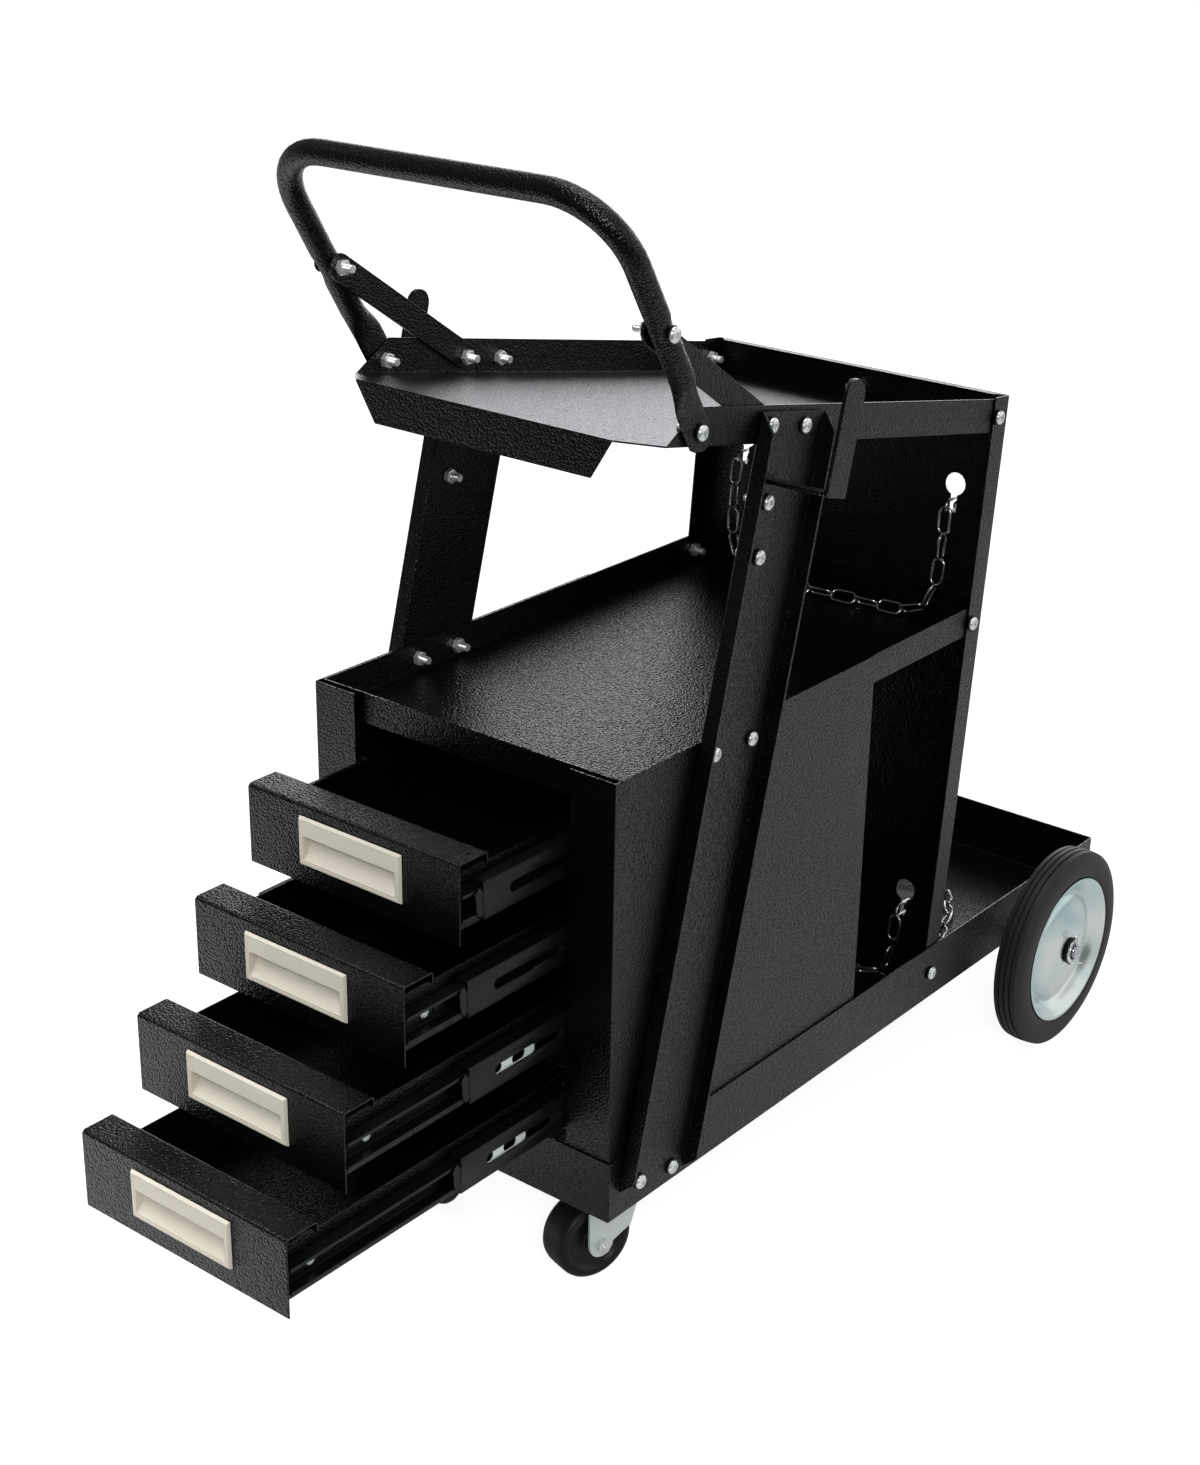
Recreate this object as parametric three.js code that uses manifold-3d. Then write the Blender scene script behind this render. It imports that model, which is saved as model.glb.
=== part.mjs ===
// Welding cart: a black sheet metal trolley with four drawers, a middle shelf, a sloping top tray
// and a rear tray for a gas bottle. Millimetres, +Z up, the drawers and the handle towards -Y.
import * as THREE from 'three';
import { mergeVertices } from 'three/addons/utils/BufferGeometryUtils.js';
import Module from 'manifold-3d';

const wasm = await Module();
wasm.setup();

// Sheet thicknesses and fits
const sheet = 1.2; // body panels, trays and drawers
const legSheet = 2; // channel legs
const strapSheet = 2.5; // handle braces
const hangerSheet = 3; // cable hangers
const fit = 0.3; // gap between pieces that touch

// Base pan
const panWidth = 280;
const panLength = 700;
const panWall = 49;

// Rear wheels
const tyreRadius = 89;
const tyreWidth = 28;
const discRadius = 66;
const dishDepth = 4.6;
const hubRadius = 13;
const hubLength = 30;
const axleRadius = 6;
const axleDrop = 10; // axle centre below the pan's underside
const axleY = 596; // from the pan's front
const wheelGap = 12; // pan wall to tyre
const axleStub = 7; // axle beyond the hub
const retainerRadius = 12;
const retainerLength = 5;
const earInset = 10; // axle ear from the pan's side
const earSheet = 3;
const earHalf = 18;
const earBelow = 12; // ear below the axle's centre

// Swivel casters
const casterInset = 60; // kingpin from the pan's side
const casterY = 79;
const casterTurn = 0.28; // swivel at rest, in radians
const casterTrail = 22;
const casterRadius = 32.5;
const casterWidth = 30;
const casterHub = 9;
const casterBolt = 3; // wheel bolt's radius
const boltHead = 5.5;
const boltHeadHeight = 4;
const plateLength = 62;
const plateWidth = 50;
const plateSheet = 2.5;
const raceRadius = 20;
const raceHeight = 5;
const kingpin = 4; // kingpin's radius
const crownSheet = 3;
const crownRadius = 21;
const forkSheet = 2.5;
const forkGap = 2.5; // wheel side to fork
const forkEye = 10.5; // round end of the fork about the wheel bolt
const forkShoulder = 28; // front edge upright to here, above the wheel bolt
const flareReach = 26.5; // fork's rear edge flares out to here, behind the wheel bolt
const flareRise = 8.5; // and to here above it

// Cabinet and middle shelf, heights from the pan's underside
const cabinetDepth = 311; // rear edge of the side panels
const openingHalf = 99.6; // half the gap between the front stiles
const panelFold = 15; // inward fold at the rear edge of the side panels
const shelfRim = 340;
const shelfWall = 24;
const shelfFront = 8;

// Drawers, the top one first
const drawerCount = 4;
const drawerPitch = 66;
const frontHeight = 59;
const frontGap = 2.6; // side of a front to its stile
const lowestFront = 2; // lowest front above the pan's wall
const lipDepth = 28;
const lipHem = 8;
const boxDepth = 289;
const boxFoot = 2; // box bottom above the front's lower edge
const boxHeight = 43;
const drawerOpen = [106.5, 159.5, 215.5, 268.5]; // how far each drawer stands open
const middleOpen = [88, 104, 103, 112]; // how far each pair of middle members stands out

// Drawer pulls
const pullWidth = 94;
const pullHeight = 36;
const pullProud = 3;
const pullDepth = 13;
const pullRim = 5; // frame around the pocket
const pullWall = 1.6;
const pullRise = 3; // pull's centre above the front's middle
const pullLip = 3.4; // finger lip at the top of the mouth
const pullLipDepth = 4.5;
const pullSlope = 7; // rise of the pocket's floor

// Drawer slides
const slideSheet = 1.2;
const railHalf = 17.5;
const middleHalf = 14;
const memberHalf = 10;
const memberEdge = 2.5; // rolled edge of the drawer member
const slideRise = 25; // slide's middle above the front's lower edge
const railSetback = 3.5; // rail's front end behind the stile's face
const railClear = 11; // rail's rear end to the side panels' rear edge
const middleShort = 10; // middle member shorter than the rail
const memberClear = 1.5; // drawer member's rear end to the box's
const railFlange = 10.6; // depth of the rail's edges
const middleFlange = 8.6;
const boxSetback = 13.4; // box side to the stile's inner edge
const cageSlot = 26; // slots in the middle members
const cageSlotHeight = 6;
const cageSlotStart = 34;
const cageSlotPitch = 33;

// Rear panel
const rearFoot = 440; // rear face at the top of the pan's wall
const rearLean = 0.0919; // radians
const rearTop = 504.6;
const rearFlange = 21;
const rearFold = 8;
const foldStep = 0.1; // folded edge below the sheet's top
const keyholeX = 101;
const keyholeRadius = 9;
const keyholeSlot = 23; // hole centre to slot end
const keyholeSlotWidth = 6;
const keyholeHigh = 427.6;
const keyholeLow = 82;

// Top tray
const trayFront = 24;
const trayRise = 56.2; // tray's front edge above the rear panel's top
const trayLean = 0.1855; // radians, down to the rear
const trayWall = 26;
const trayCorner = 25; // cut corner beside the front lip
const trayWallCut = 30; // slope at the walls' front ends
const lipHalf = 112;
const lipCut = 17; // slope at the ends of the front lip
const lipDrop = 27;

// Legs
const legFootY = 9.8; // front corner of the foot, from the pan's front
const legFoot = 23; // and above the pan's underside
const legFall = 0.2; // slope of the foot's end, down to the rear
const legSlope = 0.261;
const legWidth = 79.5; // measured level
const legFlange = 12.5;
const legTopChamfer = 13;
const legFootChamfer = 8.5;
const legTopDrop = 4; // leg's end below the tray wall's rim

// Cable hangers
const hangerWidth = 22;
const hangerInset = 19.9; // strip's middle from the leg's front edge
const hangerDrop = 114.8; // strip's lower end below the tray's front edge
const hangerBend = 69;
const hangerHeight = 145;
const hangerReach = 58;

// Handle and braces
const tubeRadius = 8;
const handleFootY = 78;
const handleFootRise = 0.2; // foot bolt above the tray's front edge
const handleLean = 0.5475; // radians, forwards
const handleLength = 188; // foot bolt to grip
const handleCorner = 50;
const footThick = 4;
const footHalf = 12.5;
const footTip = 14; // flat end beyond the bolt
const footTipHalf = 7;
const footFlat = 22;
const footTaper = 24;
const braceWidth = 19;
const braceUp = 85.5; // brace bolt along the handle, from the foot bolt
const braceEndY = 159;
const braceEndDrop = 11.3; // brace's lower bolt below the tray's front edge

// Chains
const chainWire = 2.6;
const chainWidth = 12.5;
const chainPitch = 21.4;
const chainWeld = 0.9; // how far neighbouring links sink into each other

// Facets
const wheelFacets = 28;
const casterFacets = 20;
const smallFacets = 16;
const tubeFacets = 12;
const cornerSteps = 8;
const linkFacets = 4;
const linkEndSteps = 2;
const roundSteps = 8;

// Places that follow from the sizes above
const panHalf = panWidth / 2;
const panBottom = tyreRadius + axleDrop;
const panFloor = panBottom + sheet;
const panTop = panBottom + panWall;
const panelHalf = panHalf - sheet - fit;
const shelfHalf = panelHalf - sheet - fit;
const cabinetFront = sheet + fit;
const panelFoot = panFloor + fit;
const shelfRimZ = panBottom + shelfRim;
const shelfUnder = shelfRimZ - shelfWall;
const frontHalf = openingHalf - frontGap;
const boxHalf = openingHalf - boxSetback;
const railFront = cabinetFront + railSetback;
const railLength = cabinetDepth - railClear - railFront;
const middleLength = railLength - middleShort;
const memberLength = boxDepth - railSetback - memberClear;
const casterX = panHalf - casterInset;
const wheelX = panHalf + wheelGap + tyreWidth / 2;
const rearSlope = Math.tan(rearLean);
const trayFrontHeight = rearTop + trayRise;
const handleFoot = trayFrontHeight + handleFootRise;
const braceEnd = trayFrontHeight - braceEndDrop;
const hangerFoot = trayFrontHeight - hangerDrop;
const chainHalf = chainWidth / 2;
const over = 1; // how far a cutting shape runs past what it cuts

// A closed geometry as a solid that can be joined and cut
function solid(geometry) {
  const bare = geometry.clone();
  bare.deleteAttribute('normal');
  bare.deleteAttribute('uv');
  const merged = mergeVertices(bare, 1e-4);
  const corners = merged.index.array;
  const kept = [];
  for (let i = 0; i < corners.length; i += 3) {
    const [a, b, c] = corners.slice(i, i + 3);
    if (a !== b && b !== c && c !== a) {
      kept.push(a, b, c);
    }
  }
  const mesh = new wasm.Mesh({
    numProp: 3,
    vertProperties: new Float32Array(merged.attributes.position.array),
    triVerts: new Uint32Array(kept),
  });
  return new wasm.Manifold(mesh);
}

// The triangles of a solid as a geometry
function geometryOf(body) {
  const mesh = body.getMesh();
  const geometry = new THREE.BufferGeometry();
  geometry.setAttribute('position', new THREE.BufferAttribute(mesh.vertProperties, 3));
  geometry.setIndex(new THREE.BufferAttribute(mesh.triVerts, 1));
  geometry.computeVertexNormals();
  return geometry;
}

// The mirror image of a geometry across the cart's middle plane
function mirrored(geometry) {
  const copy = geometry.clone();
  copy.scale(-1, 1, 1);
  const corners = copy.index.array;
  for (let i = 0; i < corners.length; i += 3) {
    [corners[i], corners[i + 1]] = [corners[i + 1], corners[i]];
  }
  copy.computeVertexNormals();
  return copy;
}

function boxGeometry(x0, x1, y0, y1, z0, z1) {
  const geometry = new THREE.BoxGeometry(x1 - x0, y1 - y0, z1 - z0);
  return geometry.translate((x0 + x1) / 2, (y0 + y1) / 2, (z0 + z1) / 2);
}

function box(...sides) {
  return solid(boxGeometry(...sides));
}

// An outline of [a, b] points pushed out by a depth
function pushed(outline, depth) {
  const shape = new THREE.Shape(outline.map(([a, b]) => new THREE.Vector2(a, b)));
  return new THREE.ExtrudeGeometry(shape, { depth, bevelEnabled: false });
}

// An outline in Y and Z, pushed along X
function slabX(outline, x0, x1) {
  const turn = new THREE.Matrix4().makeBasis(
    new THREE.Vector3(0, 1, 0),
    new THREE.Vector3(0, 0, 1),
    new THREE.Vector3(1, 0, 0),
  );
  return pushed(outline, x1 - x0).applyMatrix4(turn).translate(x0, 0, 0);
}

// An outline in X and Z, pushed along Y
function slabY(outline, y0, y1) {
  return pushed(outline, y1 - y0).rotateX(Math.PI / 2).translate(0, y1, 0);
}

// An outline in X and Y, pushed along Z
function slabZ(outline, z0, z1) {
  return pushed(outline, z1 - z0).translate(0, 0, z0);
}

// A strip's outline from one point to another, with round ends about both
function roundEnded([a0, b0], [a1, b1], width) {
  const along = Math.atan2(b1 - b0, a1 - a0);
  const outline = [];
  for (const [a, b, start] of [[a1, b1, along - Math.PI / 2], [a0, b0, along + Math.PI / 2]]) {
    for (let i = 0; i <= roundSteps; i += 1) {
      const angle = start + Math.PI * i / roundSteps;
      outline.push([a + Math.cos(angle) * width / 2, b + Math.sin(angle) * width / 2]);
    }
  }
  return outline;
}

// A turned piece about X from [radius, x] points, with flats at the given radii
function turned(profile, facets) {
  const spread = 1 / Math.cos(Math.PI / facets);
  const points = profile.map(([radius, x]) => new THREE.Vector2(radius * spread, x));
  const lathe = new THREE.LatheGeometry(points, facets, Math.PI / facets, 2 * Math.PI);
  return lathe.rotateZ(-Math.PI / 2);
}

// A plain round bar along X
function bar(radius, x0, x1, facets) {
  return turned([[0, x0], [radius, x0], [radius, x1], [0, x1]], facets);
}

// A tube through closed rings of points, with its two ends closed
function loft(rings) {
  const sides = rings[0].length;
  const points = rings.flat();
  const corners = [];
  for (let i = 0; i + 1 < rings.length; i += 1) {
    for (let j = 0; j < sides; j += 1) {
      const a = i * sides + j;
      const b = i * sides + (j + 1) % sides;
      corners.push(a, b, a + sides, b, b + sides, a + sides);
    }
  }
  const last = (rings.length - 1) * sides;
  for (let j = 1; j + 1 < sides; j += 1) {
    corners.push(0, j + 1, j, last, last + j, last + j + 1);
  }
  const geometry = new THREE.BufferGeometry().setFromPoints(points);
  geometry.setIndex(corners);
  return geometry;
}

// Materials
function material(color, roughness, metalness) {
  return new THREE.MeshStandardMaterial({ color, roughness, metalness });
}
const blackPaint = material(0x0c0c0d, 0.35, 0.1);
const slideBlack = material(0x121213, 0.4, 0.5);
const zinc = material(0xc3d3d3, 0.3, 0.9);
const rubber = material(0x141414, 0.8, 0);
const casterBlack = material(0x101011, 0.5, 0);
const ivory = material(0xe2ddcd, 0.5, 0);
const chainSteel = material(0x5a5c60, 0.25, 1);

const cart = new THREE.Group();

function piece(name, body, finish, parent = cart) {
  const mesh = new THREE.Mesh(geometryOf(body), finish.clone());
  mesh.name = name;
  parent.add(mesh);
}

// A right-hand piece and its mirror image, in their own parents
function pair(name, body, finish, right = cart, left = cart) {
  piece(`right_${name}`, body, finish, right);
  const twin = new THREE.Mesh(mirrored(geometryOf(body)), finish.clone());
  twin.name = `left_${name}`;
  left.add(twin);
}

// A right-hand group and its mirror image
function groups(x, y, z, turnY = 0, turnZ = 0) {
  return [1, -1].map((side) => {
    const group = new THREE.Group();
    group.position.set(side * x, y, z);
    group.rotation.set(0, side * turnY, side * turnZ);
    cart.add(group);
    return group;
  });
}

// Base pan: a folded tray with two ears below it for the axle
function basePan() {
  const rim = panTop + over;
  let pan = box(-panHalf, panHalf, 0, panLength, panBottom, panTop);
  pan = pan.subtract(
    box(sheet - panHalf, panHalf - sheet, sheet, panLength - sheet, panFloor, rim),
  );
  const earFoot = tyreRadius - earBelow;
  for (const x of [panHalf - earInset - earSheet, earInset - panHalf]) {
    const ear = box(x, x + earSheet, axleY - earHalf, axleY + earHalf, earFoot, panBottom + sheet / 2);
    pan = pan.add(ear);
  }
  const hole = bar(axleRadius + fit, -panHalf, panHalf, smallFacets);
  return pan.subtract(solid(hole.translate(0, axleY, tyreRadius)));
}
piece('base_pan', basePan(), blackPaint);

// Cabinet side: outer sheet, front stile and a fold along the rear edge
function sidePanel() {
  const inner = panelHalf - sheet;
  const foldTop = shelfUnder - fit;
  return box(inner, panelHalf, cabinetFront, cabinetDepth, panelFoot, shelfRimZ)
    .add(box(openingHalf, panelHalf, cabinetFront, cabinetFront + sheet, panelFoot, shelfRimZ))
    .add(box(panelHalf - panelFold, panelHalf, cabinetDepth - sheet, cabinetDepth, panelFoot, foldTop));
}
pair('side_panel', sidePanel(), blackPaint);

// Height of a drawer front's lower edge
function frontFoot(index) {
  return panTop + lowestFront + (drawerCount - 1 - index) * drawerPitch;
}

// Runner panel: a sheet behind the stile with a rear flange and the fixed rails of the four slides
function runnerPanel() {
  const front = cabinetFront + sheet + fit;
  const rear = cabinetDepth - sheet - fit;
  const top = shelfUnder - fit;
  const flangeEdge = panelHalf - sheet - fit;
  let panel = box(openingHalf, openingHalf + sheet, front, rear, panelFoot, top);
  panel = panel.add(box(openingHalf, flangeEdge, rear - sheet, rear, panelFoot, top));
  for (let index = 0; index < drawerCount; index += 1) {
    const middle = frontFoot(index) + slideRise;
    const edge = openingHalf - slideSheet - railFlange;
    const back = openingHalf - slideSheet;
    const inside = middleHalf + fit;
    const rear = railFront + railLength;
    const rail = box(edge, openingHalf + sheet / 2, railFront, rear, middle - railHalf, middle + railHalf);
    const groove = box(edge - over, back, railFront - over, rear + over, middle - inside, middle + inside);
    panel = panel.add(rail.subtract(groove));
  }
  return panel;
}
pair('runner_panel', runnerPanel(), blackPaint);

// Middle shelf: a tray that reaches from the stiles to the rear panel
const rearPanelY = (z) => rearFoot + (z - panTop) * rearSlope - sheet / Math.cos(rearLean);
function middleShelf() {
  const rear = rearPanelY(shelfUnder) - fit;
  const tray = box(-shelfHalf, shelfHalf, shelfFront, rear, shelfUnder, shelfRimZ);
  const edge = shelfHalf - sheet;
  return tray.subtract(
    box(-edge, edge, shelfFront + sheet, rear - sheet, shelfUnder + sheet, shelfRimZ + over),
  );
}
piece('middle_shelf', middleShelf(), blackPaint);

// Rear panel: its own frame stands on the pan's floor and leans back
const rearFrame = new THREE.Group();
rearFrame.position.set(0, rearFoot - (panTop - panelFoot) * rearSlope, panelFoot);
rearFrame.rotation.x = -rearLean;
rearFrame.updateMatrix();
cart.add(rearFrame);
const rearRise = (panBottom + rearTop - panelFoot) / Math.cos(rearLean);
const rearHeight = (height) => (panBottom + height - panelFoot) / Math.cos(rearLean);
function rearPanel() {
  const inner = panelHalf - sheet;
  const corner = inner - sheet;
  const section = [
    [-panelHalf, -rearFlange],
    [-inner, -rearFlange],
    [-inner, -sheet],
    [inner, -sheet],
    [inner, -rearFlange],
    [panelHalf, -rearFlange],
    [panelHalf, 0],
    [-panelHalf, 0],
  ];
  const fold = [
    [-corner, -sheet / 2],
    [rearFold - corner, -rearFold],
    [corner - rearFold, -rearFold],
    [corner, -sheet / 2],
  ];
  let panel = solid(slabZ(section, 0, rearRise));
  panel = panel.add(solid(slabZ(fold, rearRise - sheet - foldStep, rearRise - foldStep)));
  for (const x of [-keyholeX, keyholeX]) {
    for (const z of [rearHeight(keyholeLow), rearHeight(keyholeHigh)]) {
      const hole = bar(keyholeRadius, -sheet - over, over, smallFacets).rotateZ(Math.PI / 2);
      const half = keyholeSlotWidth / 2;
      const slot = box(x - half, x + half, -sheet - over, over, z - keyholeSlot, z);
      panel = panel.subtract(solid(hole.translate(x, 0, z))).subtract(slot);
    }
  }
  return panel;
}
piece('rear_panel', rearPanel(), blackPaint, rearFrame);

// Top tray: its own frame starts at the front edge and slopes down to the rear
const trayFrame = new THREE.Group();
trayFrame.position.set(0, trayFront, panBottom + trayFrontHeight);
trayFrame.rotation.x = -trayLean;
trayFrame.updateMatrix();
cart.add(trayFrame);
function topTray() {
  const far = panLength;
  const floorOutline = [
    [-lipHalf, 0],
    [lipHalf, 0],
    [shelfHalf, trayCorner],
    [shelfHalf, far],
    [-shelfHalf, far],
    [-shelfHalf, trayCorner],
  ];
  const wallOutline = [
    [trayCorner, 0],
    [far, 0],
    [far, trayWall],
    [trayCorner + trayWallCut, trayWall],
  ];
  const lipOutline = [
    [-lipHalf, sheet / 2],
    [lipHalf, sheet / 2],
    [lipHalf, 0],
    [lipHalf - lipCut, -lipDrop],
    [lipCut - lipHalf, -lipDrop],
    [-lipHalf, 0],
  ];
  let tray = solid(slabZ(floorOutline, 0, sheet));
  tray = tray.add(solid(slabX(wallOutline, shelfHalf - sheet, shelfHalf)));
  tray = tray.add(solid(slabX(wallOutline, -shelfHalf, sheet - shelfHalf)));
  tray = tray.add(solid(slabY(lipOutline, 0, sheet).rotateX(trayLean)));
  const behind = boxGeometry(-panWidth, panWidth, -sheet - fit, far, -far, far);
  const fold = boxGeometry(-panWidth, panWidth, -rearFold - fit, far, rearRise - sheet - fit, far);
  const toTray = trayFrame.matrix.clone().invert().multiply(rearFrame.matrix);
  tray = tray.subtract(solid(behind.applyMatrix4(toTray)));
  return tray.subtract(solid(fold.applyMatrix4(toTray)));
}
piece('top_tray', topTray(), blackPaint, trayFrame);

// Legs: they stand against the pan's walls and lean in until they meet the cabinet or the tray
const traySlope = Math.tan(trayLean);
const trayRimAt = (y) => panBottom + trayFrontHeight + trayWall / Math.cos(trayLean)
  - (y - trayFront) * traySlope;
const legFootZ = panBottom + legFoot;
const legEdgeY = (z) => legFootY + (z - legFootZ) * legSlope;
function legTopZ(across) {
  const start = trayRimAt(legFootY + across) - legTopDrop;
  return (start + legFootZ * legSlope * traySlope) / (1 + legSlope * traySlope);
}
const legFootEnd = (across) => legFootZ - legFall * across / (1 + legFall * legSlope);
const leanToPanel = (panHalf - panelHalf) / (shelfRimZ - panTop);
const leanToTray = (panHalf - shelfHalf) / (legTopZ(0) - panTop);
const legLeanIn = Math.atan(Math.min(leanToPanel, leanToTray));
const [rightLeg, leftLeg] = groups(panHalf + fit, 0, panTop, -legLeanIn);
// The outline of a strip of the leg between two distances from its front edge
function legStrip(from, to) {
  const corners = [
    [from, legFootEnd(from)],
    [to, legFootEnd(to)],
    [to, legTopZ(to)],
    [from, legTopZ(from)],
  ];
  return corners.map(([across, z]) => [legEdgeY(z) + across, z - panTop]);
}
function leg() {
  const edge = legSheet / Math.cos(Math.atan(legSlope));
  let channel = solid(slabX(legStrip(0, legWidth), 0, legSheet));
  for (const across of [0, legWidth - edge]) {
    let flange = solid(slabX(legStrip(across, across + edge), 0, legFlange));
    const reach = legFlange + over;
    const ends = [
      [legTopZ(across), legTopChamfer],
      [legFootEnd(across), -legFootChamfer],
    ];
    for (const [z, chamfer] of ends) {
      const tip = z - panTop;
      const drop = chamfer * (reach - legSheet) / (legFlange - legSheet);
      const cut = [
        [legSheet, tip],
        [reach, tip - drop],
        [reach, tip + chamfer],
        [legSheet, tip + chamfer],
      ];
      const y = legEdgeY(z) + across;
      flange = flange.subtract(solid(slabY(cut, y - legWidth / 2, y + legWidth / 2)));
    }
    channel = channel.add(flange);
  }
  return channel;
}
pair('leg', leg(), blackPaint, rightLeg, leftLeg);

// Cable hangers: bent strips inside the channels, with round ends
function hanger() {
  const lean = Math.atan(legSlope);
  const inside = legSheet + fit;
  const bend = hangerBend;
  const hook = [
    [inside, 0],
    [inside + hangerSheet, 0],
    [inside + hangerSheet, bend - hangerSheet],
    [hangerReach, bend - hangerSheet],
    [hangerReach, hangerHeight],
    [hangerReach - hangerSheet, hangerHeight],
    [hangerReach - hangerSheet, bend],
    [inside, bend],
  ];
  const half = hangerWidth / 2;
  const face = roundEnded([0, half], [0, hangerHeight - half], hangerWidth);
  const strip = slabY(hook, -half, half);
  const ends = slabX(face, 0, hangerReach + over);
  const footZ = panBottom + hangerFoot;
  const footY = legEdgeY(footZ) + hangerInset;
  const place = (geometry) => solid(geometry.rotateX(-lean).translate(0, footY, footZ - panTop));
  return place(strip).intersect(place(ends));
}
pair('hanger', hanger(), blackPaint, rightLeg, leftLeg);

// Handle: one bent tube in a leaning plane, with a flattened foot outside each tray wall
const trayInner = shelfHalf - sheet;
const tubeX = trayInner + tubeRadius;
const handleUp = new THREE.Vector3(0, -Math.sin(handleLean), Math.cos(handleLean));
const handleBack = new THREE.Vector3(0, Math.cos(handleLean), Math.sin(handleLean));
const handleStart = new THREE.Vector3(0, handleFootY, panBottom + handleFoot);
// One ring of the tube: its middle, the way it faces in the handle's plane and its half sizes
function handleRing(x, up, angle, halfAcross, halfBack) {
  const middle = handleStart.clone().addScaledVector(handleUp, up);
  middle.x += x;
  const across = new THREE.Vector3(Math.cos(angle), 0, 0).addScaledVector(handleUp, Math.sin(angle));
  const ring = [];
  for (let i = 0; i < tubeFacets; i += 1) {
    const turn = 2 * Math.PI * (i + 0.5) / tubeFacets;
    const point = middle.clone().addScaledVector(across, Math.cos(turn) * halfAcross);
    ring.push(point.addScaledVector(handleBack, Math.sin(turn) * halfBack));
  }
  return ring;
}
function handle() {
  const flatX = shelfHalf + fit + footThick / 2;
  const spread = 1 / Math.cos(Math.PI / tubeFacets);
  const thin = footThick / 2 * spread;
  const round = tubeRadius * spread;
  const half = [
    [flatX, -footTip, 0, thin, footTipHalf],
    [flatX, footTipHalf - footTip, 0, thin, footHalf],
    [flatX, footFlat, 0, thin, footHalf],
    [tubeX, footFlat + footTaper, 0, round, round],
  ];
  for (let i = 0; i <= cornerSteps; i += 1) {
    const angle = Math.PI / 2 * i / cornerSteps;
    const x = tubeX - handleCorner + Math.cos(angle) * handleCorner;
    const up = handleLength - handleCorner + Math.sin(angle) * handleCorner;
    half.push([x, up, angle, round, round]);
  }
  const other = half.map(([x, up, angle, a, b]) => [-x, up, Math.PI - angle, a, b]).reverse();
  return solid(loft([...half, ...other].map((ring) => handleRing(...ring))));
}
piece('handle', handle(), blackPaint);

// Handle braces: straps inside the handle and the tray walls
function handleBrace() {
  const top = handleStart.clone().addScaledVector(handleUp, braceUp);
  const outline = roundEnded([top.y, top.z], [braceEndY, panBottom + braceEnd], braceWidth);
  const face = trayInner - fit;
  return solid(slabX(outline, face - strapSheet, face));
}
pair('handle_brace', handleBrace(), blackPaint);

// Rear axle, wheels and the retainers on the axle's ends
const hubEnd = wheelX + hubLength / 2;
const axleHalf = hubEnd + axleStub;
const axle = bar(axleRadius, -axleHalf, axleHalf, smallFacets).translate(0, axleY, tyreRadius);
piece('rear_axle', solid(axle), zinc);
const [rightWheel, leftWheel] = groups(wheelX, axleY, tyreRadius);
function tyre() {
  const half = tyreWidth / 2;
  const shoulder = 5;
  const bead = 1.5;
  return solid(turned([
    [discRadius, -half + bead],
    [discRadius + bead * 2, -half],
    [tyreRadius - shoulder, -half],
    [tyreRadius - bead, shoulder - half],
    [tyreRadius, 0],
    [tyreRadius - bead, half - shoulder],
    [tyreRadius - shoulder, half],
    [discRadius + bead * 2, half],
    [discRadius, half - bead],
    [discRadius, -half + bead],
  ], wheelFacets));
}
function wheelDisc() {
  const bore = axleRadius + fit;
  const half = hubLength / 2;
  const rim = discRadius - fit;
  const lip = tyreWidth / 2 - 1;
  const plate = 2;
  const dish = lip - dishDepth;
  const well = 50;
  return solid(turned([
    [bore, -half],
    [hubRadius, -half],
    [hubRadius, dish - plate],
    [well - plate, dish - plate],
    [rim - plate, lip - plate],
    [rim - plate, -lip],
    [rim, -lip],
    [rim, lip],
    [rim - plate, lip],
    [well, dish],
    [hubRadius + plate, dish],
    [hubRadius, half],
    [bore, half],
    [bore, -half],
  ], wheelFacets));
}
function retainer() {
  const bore = axleRadius + fit;
  const collar = axleRadius + 2;
  const flange = 2;
  const start = hubLength / 2 + fit;
  return solid(turned([
    [bore, start],
    [retainerRadius, start],
    [retainerRadius, start + flange],
    [collar, start + flange],
    [collar, start + retainerLength],
    [bore, start + retainerLength],
    [bore, start],
  ], smallFacets));
}
pair('tyre', tyre(), rubber, rightWheel, leftWheel);
pair('wheel_disc', wheelDisc(), zinc, rightWheel, leftWheel);
pair('wheel_retainer', retainer(), zinc, rightWheel, leftWheel);

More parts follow.
